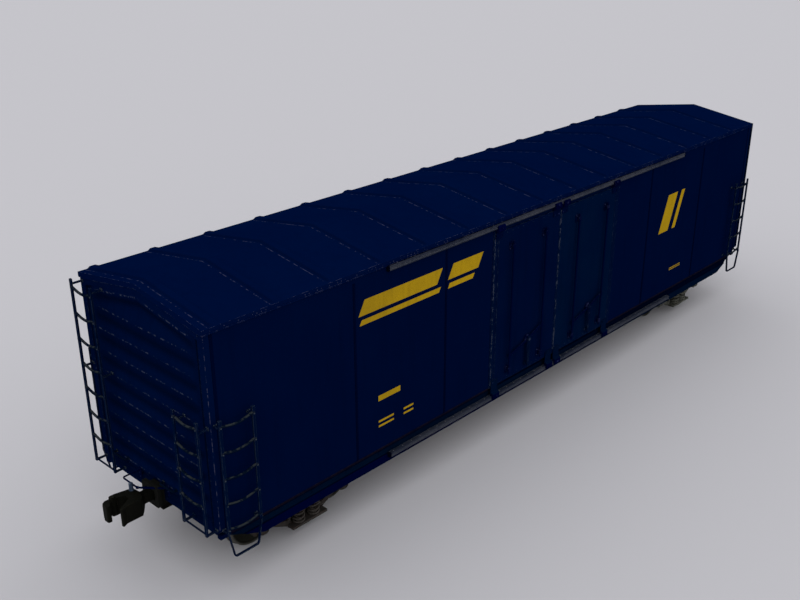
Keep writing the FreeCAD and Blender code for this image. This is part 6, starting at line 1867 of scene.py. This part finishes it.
@dataclass
class Underframe:
    """The brake equipment, its pipes and rods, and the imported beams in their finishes."""

    tank_x: float = 1.385
    tank_length: float = 1.25
    tank_y: float = -0.7
    tank_z: float = 1.065
    tank_radius: float = 0.2
    dome: float = 0.07
    cylinder_z: float = 1.103
    clip_places: Row = (-7.2, -5.2, -3.675, -1.225, 1.225, 3.675, 5.2, 7.2)

    def reservoir(self) -> Shape:
        """A tank with bands, a drain and domed ends.

        A dome's section is a quarter ellipse: at a share s of the radius it lies the dome's depth
        times one less the root of 1 - s squared behind the tip.
        """
        share = np.linspace(0.1, 0.99, 12)
        dome = np.stack([self.dome * (1 - np.sqrt(1 - share ** 2)), self.tank_radius * share], axis=1)
        dome = np.concatenate([[(0.0, 0.001)], dome, [(self.dome, self.tank_radius)]])
        far = np.stack([self.tank_length - dome[::-1, 0], dome[::-1, 1]], axis=1)
        shapes = [lathe(X, np.concatenate([dome, far]), (self.tank_x, self.tank_y, self.tank_z), 48)]
        strap = [(-0.03, 0.199), (-0.03, 0.208), (0.03, 0.208), (0.03, 0.199)]
        for share in (0.25, 0.75):
            x = self.tank_x + self.tank_length * share
            shapes.append(
                lathe(X, strap, (x, self.tank_y, self.tank_z), 48, np.array([0.0, 0.6, 0.6, 0.0])))
            for at in (self.tank_y - 0.098, self.tank_y + 0.098):
                shapes.append(box((x - 0.03, x + 0.03), (at - 0.005, at + 0.005),
                                  (self.tank_z + 0.14, CAR.sill_top_z)))
        drain = (self.tank_x + 0.6, self.tank_y, self.tank_z - self.tank_radius + 0.001)
        return join(shapes + [bolts(Z, [drain], 0.022, 0.02)])

    def cylinder(self) -> Shape:
        """The brake cylinder with a bolted head, a push rod, a fork and its hanger."""
        y, z = -self.tank_y, self.cylinder_z
        profile = [(-1.945, 0.018), (-1.945, 0.12), (-1.93, 0.14), (-1.429, 0.14), (-1.429, 0.16),
                   (-1.425, 0.162), (-1.389, 0.162), (-1.385, 0.158), (-1.385, 0.11), (-1.376, 0.1),
                   (-1.376, 0.001)]
        worn = np.array([0, 0.2, 0.4, 0.1, 0.3, 0.8, 0.8, 0.3, 0, 0.4, 0])
        body = lathe(X, profile, (0, y, z), 44, worn)
        rod = bar(X, (-2.172, -1.92), (y, z), 0.02)
        fork = box((-2.174, -2.11), (y - 0.026, y + 0.026), (z - 0.026, z + 0.026))
        heads = bolts(X, [(-1.385, y + a, z + b) for a, b in circle(0.148, 8)], 0.012, 0.009, 1.0)
        hanger = box((-1.725, -1.605), (y - 0.07, y + 0.07), (z, CAR.sill_top_z))
        return join([body, rod, fork, heads, hanger])

    def valve(self) -> Shape:
        """The control valve: a slanted body between two bolted flange plates."""
        top = CAR.sill_top_z
        section = [(-0.815, 1.145), (-0.585, 1.085), (-0.585, top), (-0.815, top)]
        flange = [(-0.83, 1.13), (-0.57, 1.065), (-0.57, top), (-0.83, top)]
        plates = [extrude(X, flange, span) for span in ((-0.13, -0.09), (0.09, 0.13), (-0.012, 0.012))]
        heads = [bolts(X, [(side * 0.13, y, z) for y in (-0.8, -0.6) for z in (1.17, 1.29)],
                       0.013, 0.01, side) for side in (1.0, -1.0)]
        return join([extrude(X, section, (-0.085, 0.085))] + heads + plates)

    def pipes(self) -> Shape:
        """The train pipe along the centre sill and the branches between valve, tank and cylinder."""
        y, main_y = self.tank_y, 0.255
        to_tank = [(0.12, y, 1.21), (1.0, y, 1.21), (1.0, y, 1.1), (1.42, y, 1.1)]
        to_main = [(0.0, -0.6, 1.2), (0.0, main_y, 1.2), (0.0, main_y, 1.06)]
        to_cylinder = [(-0.12, -0.66, 1.24), (-0.55, -0.66, 1.24), (-0.55, -y, 1.24), (-1.39, -y, 1.24)]
        clip = box((-0.015, 0.015), (0.222, 0.284), (1.035, 1.09))
        return join([
            bar(X, (-7.3, 7.3), (main_y, 1.06), 0.021, 14),
            tube(to_tank, 0.014, (0, 1, 0), 0.06),
            tube(to_main, 0.014, (1, 0, 0), 0.06),
            tube(to_cylinder, 0.012, (0, 0, 1), 0.08),
            clip.at_all(np.array([(x, 0.0, 0.0) for x in self.clip_places])),
        ])

    def rods(self) -> Shape:
        """The brake lever at the cylinder and the rods that run from it towards both trucks."""
        outline = [(-2.185, 0.745), (-2.15, 0.745), (-2.125, 0.2), (-2.15, -0.34), (-2.185, -0.34),
                   (-2.215, 0.2)]
        far = bar(X, (-5.98, -2.14), (-0.315, 1.103), 0.013, 12)
        near = bar(X, (-2.17, 5.98), (0.34, 1.125), 0.013, 12)
        pin = lathe(Z, [(1.07, 0.018), (1.076, 0.022), (1.136, 0.022), (1.142, 0.018)], steps=14)
        places = np.array([(-2.167, 0.7, 0.0), (-2.167, -0.315, 0.0), (-2.16, 0.34, 0.0)])
        return join([extrude(Z, outline, (1.092, 1.114)), far, near, pin.at_all(places)])

    def build(self) -> None:
        """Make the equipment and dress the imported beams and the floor."""
        for name, shape, replaced, bevel in (
                ("air_reservoir", self.reservoir(), ["brake_equipment"], 0.0015),
                ("brake_cylinder", self.cylinder(), [], 0.003),
                ("control_valve", self.valve(), [], 0.004),
                ("brake_pipes", self.pipes(), [], 0.0),
                ("brake_rods", self.rods(), [], 0.002)):
            make(name, shape, PIPE, "car_body", "underframe_dark", replaced, bevel)
        for node in ("center_sill", "body_bolsters", "crossbearers"):
            dress(node, UNDER)
        dress("floor", BOARDS)


@dataclass
class Studio:
    """The floor, the lights and the camera at the photo's viewpoint."""

    reach: float = 260.0
    floor_tone: Colour = (0.6, 0.589, 0.611)
    # Painted shade on the floor: its darker tone, which the speckles also take, the place it centres on and
    # how far it reaches.
    floor_shade_and_speckle_tone: Colour = (0.52, 0.511, 0.53)
    floor_shade_centre: Point = (-15.0, -5.0, 0.0)
    floor_shade_reach: float = 11.0
    sky_tone: Colour = (0.96, 0.97, 1.0)
    sky_strength: float = 0.915
    sun_energy: float = 0.22
    sun_spread: float = 50
    sun_turn: Point = (32, -12, -20)
    lens: float = 43.94
    sensor: float = 36.0
    clip_end: float = 800.0
    camera_place: Point = (-14.7439, -11.4763, 9.8517)
    camera_turn: Point = (66.7506, 0.2281, -46.5896)

    def floor(self) -> None:
        """A wide pale floor under the flanges, darkened by painted shade towards a place near the camera,
        with fine speckles.
        """
        r = self.reach
        mesh = bpy.data.meshes.new("floor_plane")
        mesh.from_pydata([(-r, -r, 0), (r, -r, 0), (r, r, 0), (-r, r, 0)], [], [(0, 1, 2, 3)])
        graph = Graph("studio_floor")
        away = graph.add("ShaderNodeVectorMath", {0: graph.place, 1: self.floor_shade_centre}, operation="DISTANCE")
        far = graph.ramp(away.outputs["Value"], 0.0, self.floor_shade_reach)
        tone = graph.mix(far, self.floor_shade_and_speckle_tone, self.floor_tone)
        speckle = graph.ramp(graph.noise(60.0, 2.0), 0.3, 0.7, 0.0, 0.05)
        graph.surface(graph.mix(speckle, tone, self.floor_shade_and_speckle_tone), 0.95, specular=0.0)
        mesh.materials.append(graph.material)
        plane = bpy.data.objects.new("studio_floor", mesh)
        bpy.context.scene.collection.objects.link(plane)

    def lights(self) -> None:
        """An even sky and one wide soft sun from above and behind the camera."""
        world = bpy.data.worlds.new("studio_sky")
        world.use_nodes = True
        sky = world.node_tree.nodes["Background"]
        sky.inputs["Color"].default_value = self.sky_tone + (1.0,)
        sky.inputs["Strength"].default_value = self.sky_strength
        bpy.context.scene.world = world
        light = bpy.data.lights.new("soft_sun", "SUN")
        light.energy = self.sun_energy
        light.angle = math.radians(self.sun_spread)
        sun = bpy.data.objects.new("soft_sun", light)
        sun.rotation_euler = [math.radians(a) for a in self.sun_turn]
        bpy.context.scene.collection.objects.link(sun)

    def camera(self) -> None:
        """The camera where the photo was taken from."""
        lens = bpy.data.cameras.new("photo_camera")
        lens.lens = self.lens
        lens.sensor_width = self.sensor
        lens.clip_end = self.clip_end
        camera = bpy.data.objects.new("photo_camera", lens)
        camera.location = self.camera_place
        camera.rotation_euler = [math.radians(a) for a in self.camera_turn]
        bpy.context.scene.collection.objects.link(camera)
        bpy.context.scene.camera = camera

    def build(self) -> None:
        """Make the studio."""
        self.floor()
        self.lights()
        self.camera()
        bpy.context.scene.view_settings.view_transform = "Standard"


def main() -> None:
    """Build the studio and every assembly."""
    logging.basicConfig(level=logging.INFO, format="%(name)s: %(message)s")
    Studio().build()
    Roof().build()
    for half, end in ((Half.MADE, "a"), (Half.TURNED, "b")):
        EndWall(half, end).build()
        EndLadders(half, end).build()
        Coupling(half, end).build()
    Truck("a", -CAR.truck_x, CASTING, SPRING).build()
    # the far truck takes the lighter copies of the same steel, as painted light
    Truck("b", CAR.truck_x, CASTING_LIT, SPRING_LIT).build()
    for half, side in ((Half.MADE, "right"), (Half.TURNED, "left")):
        Sides(half, side).build()
        DoorTracks(half, side).build()
        DoorGear(half, side).build()
        SideLadders(half, side).build()
    HandBrake().build()
    Underframe().build()


if __name__ == "__main__":
    main()
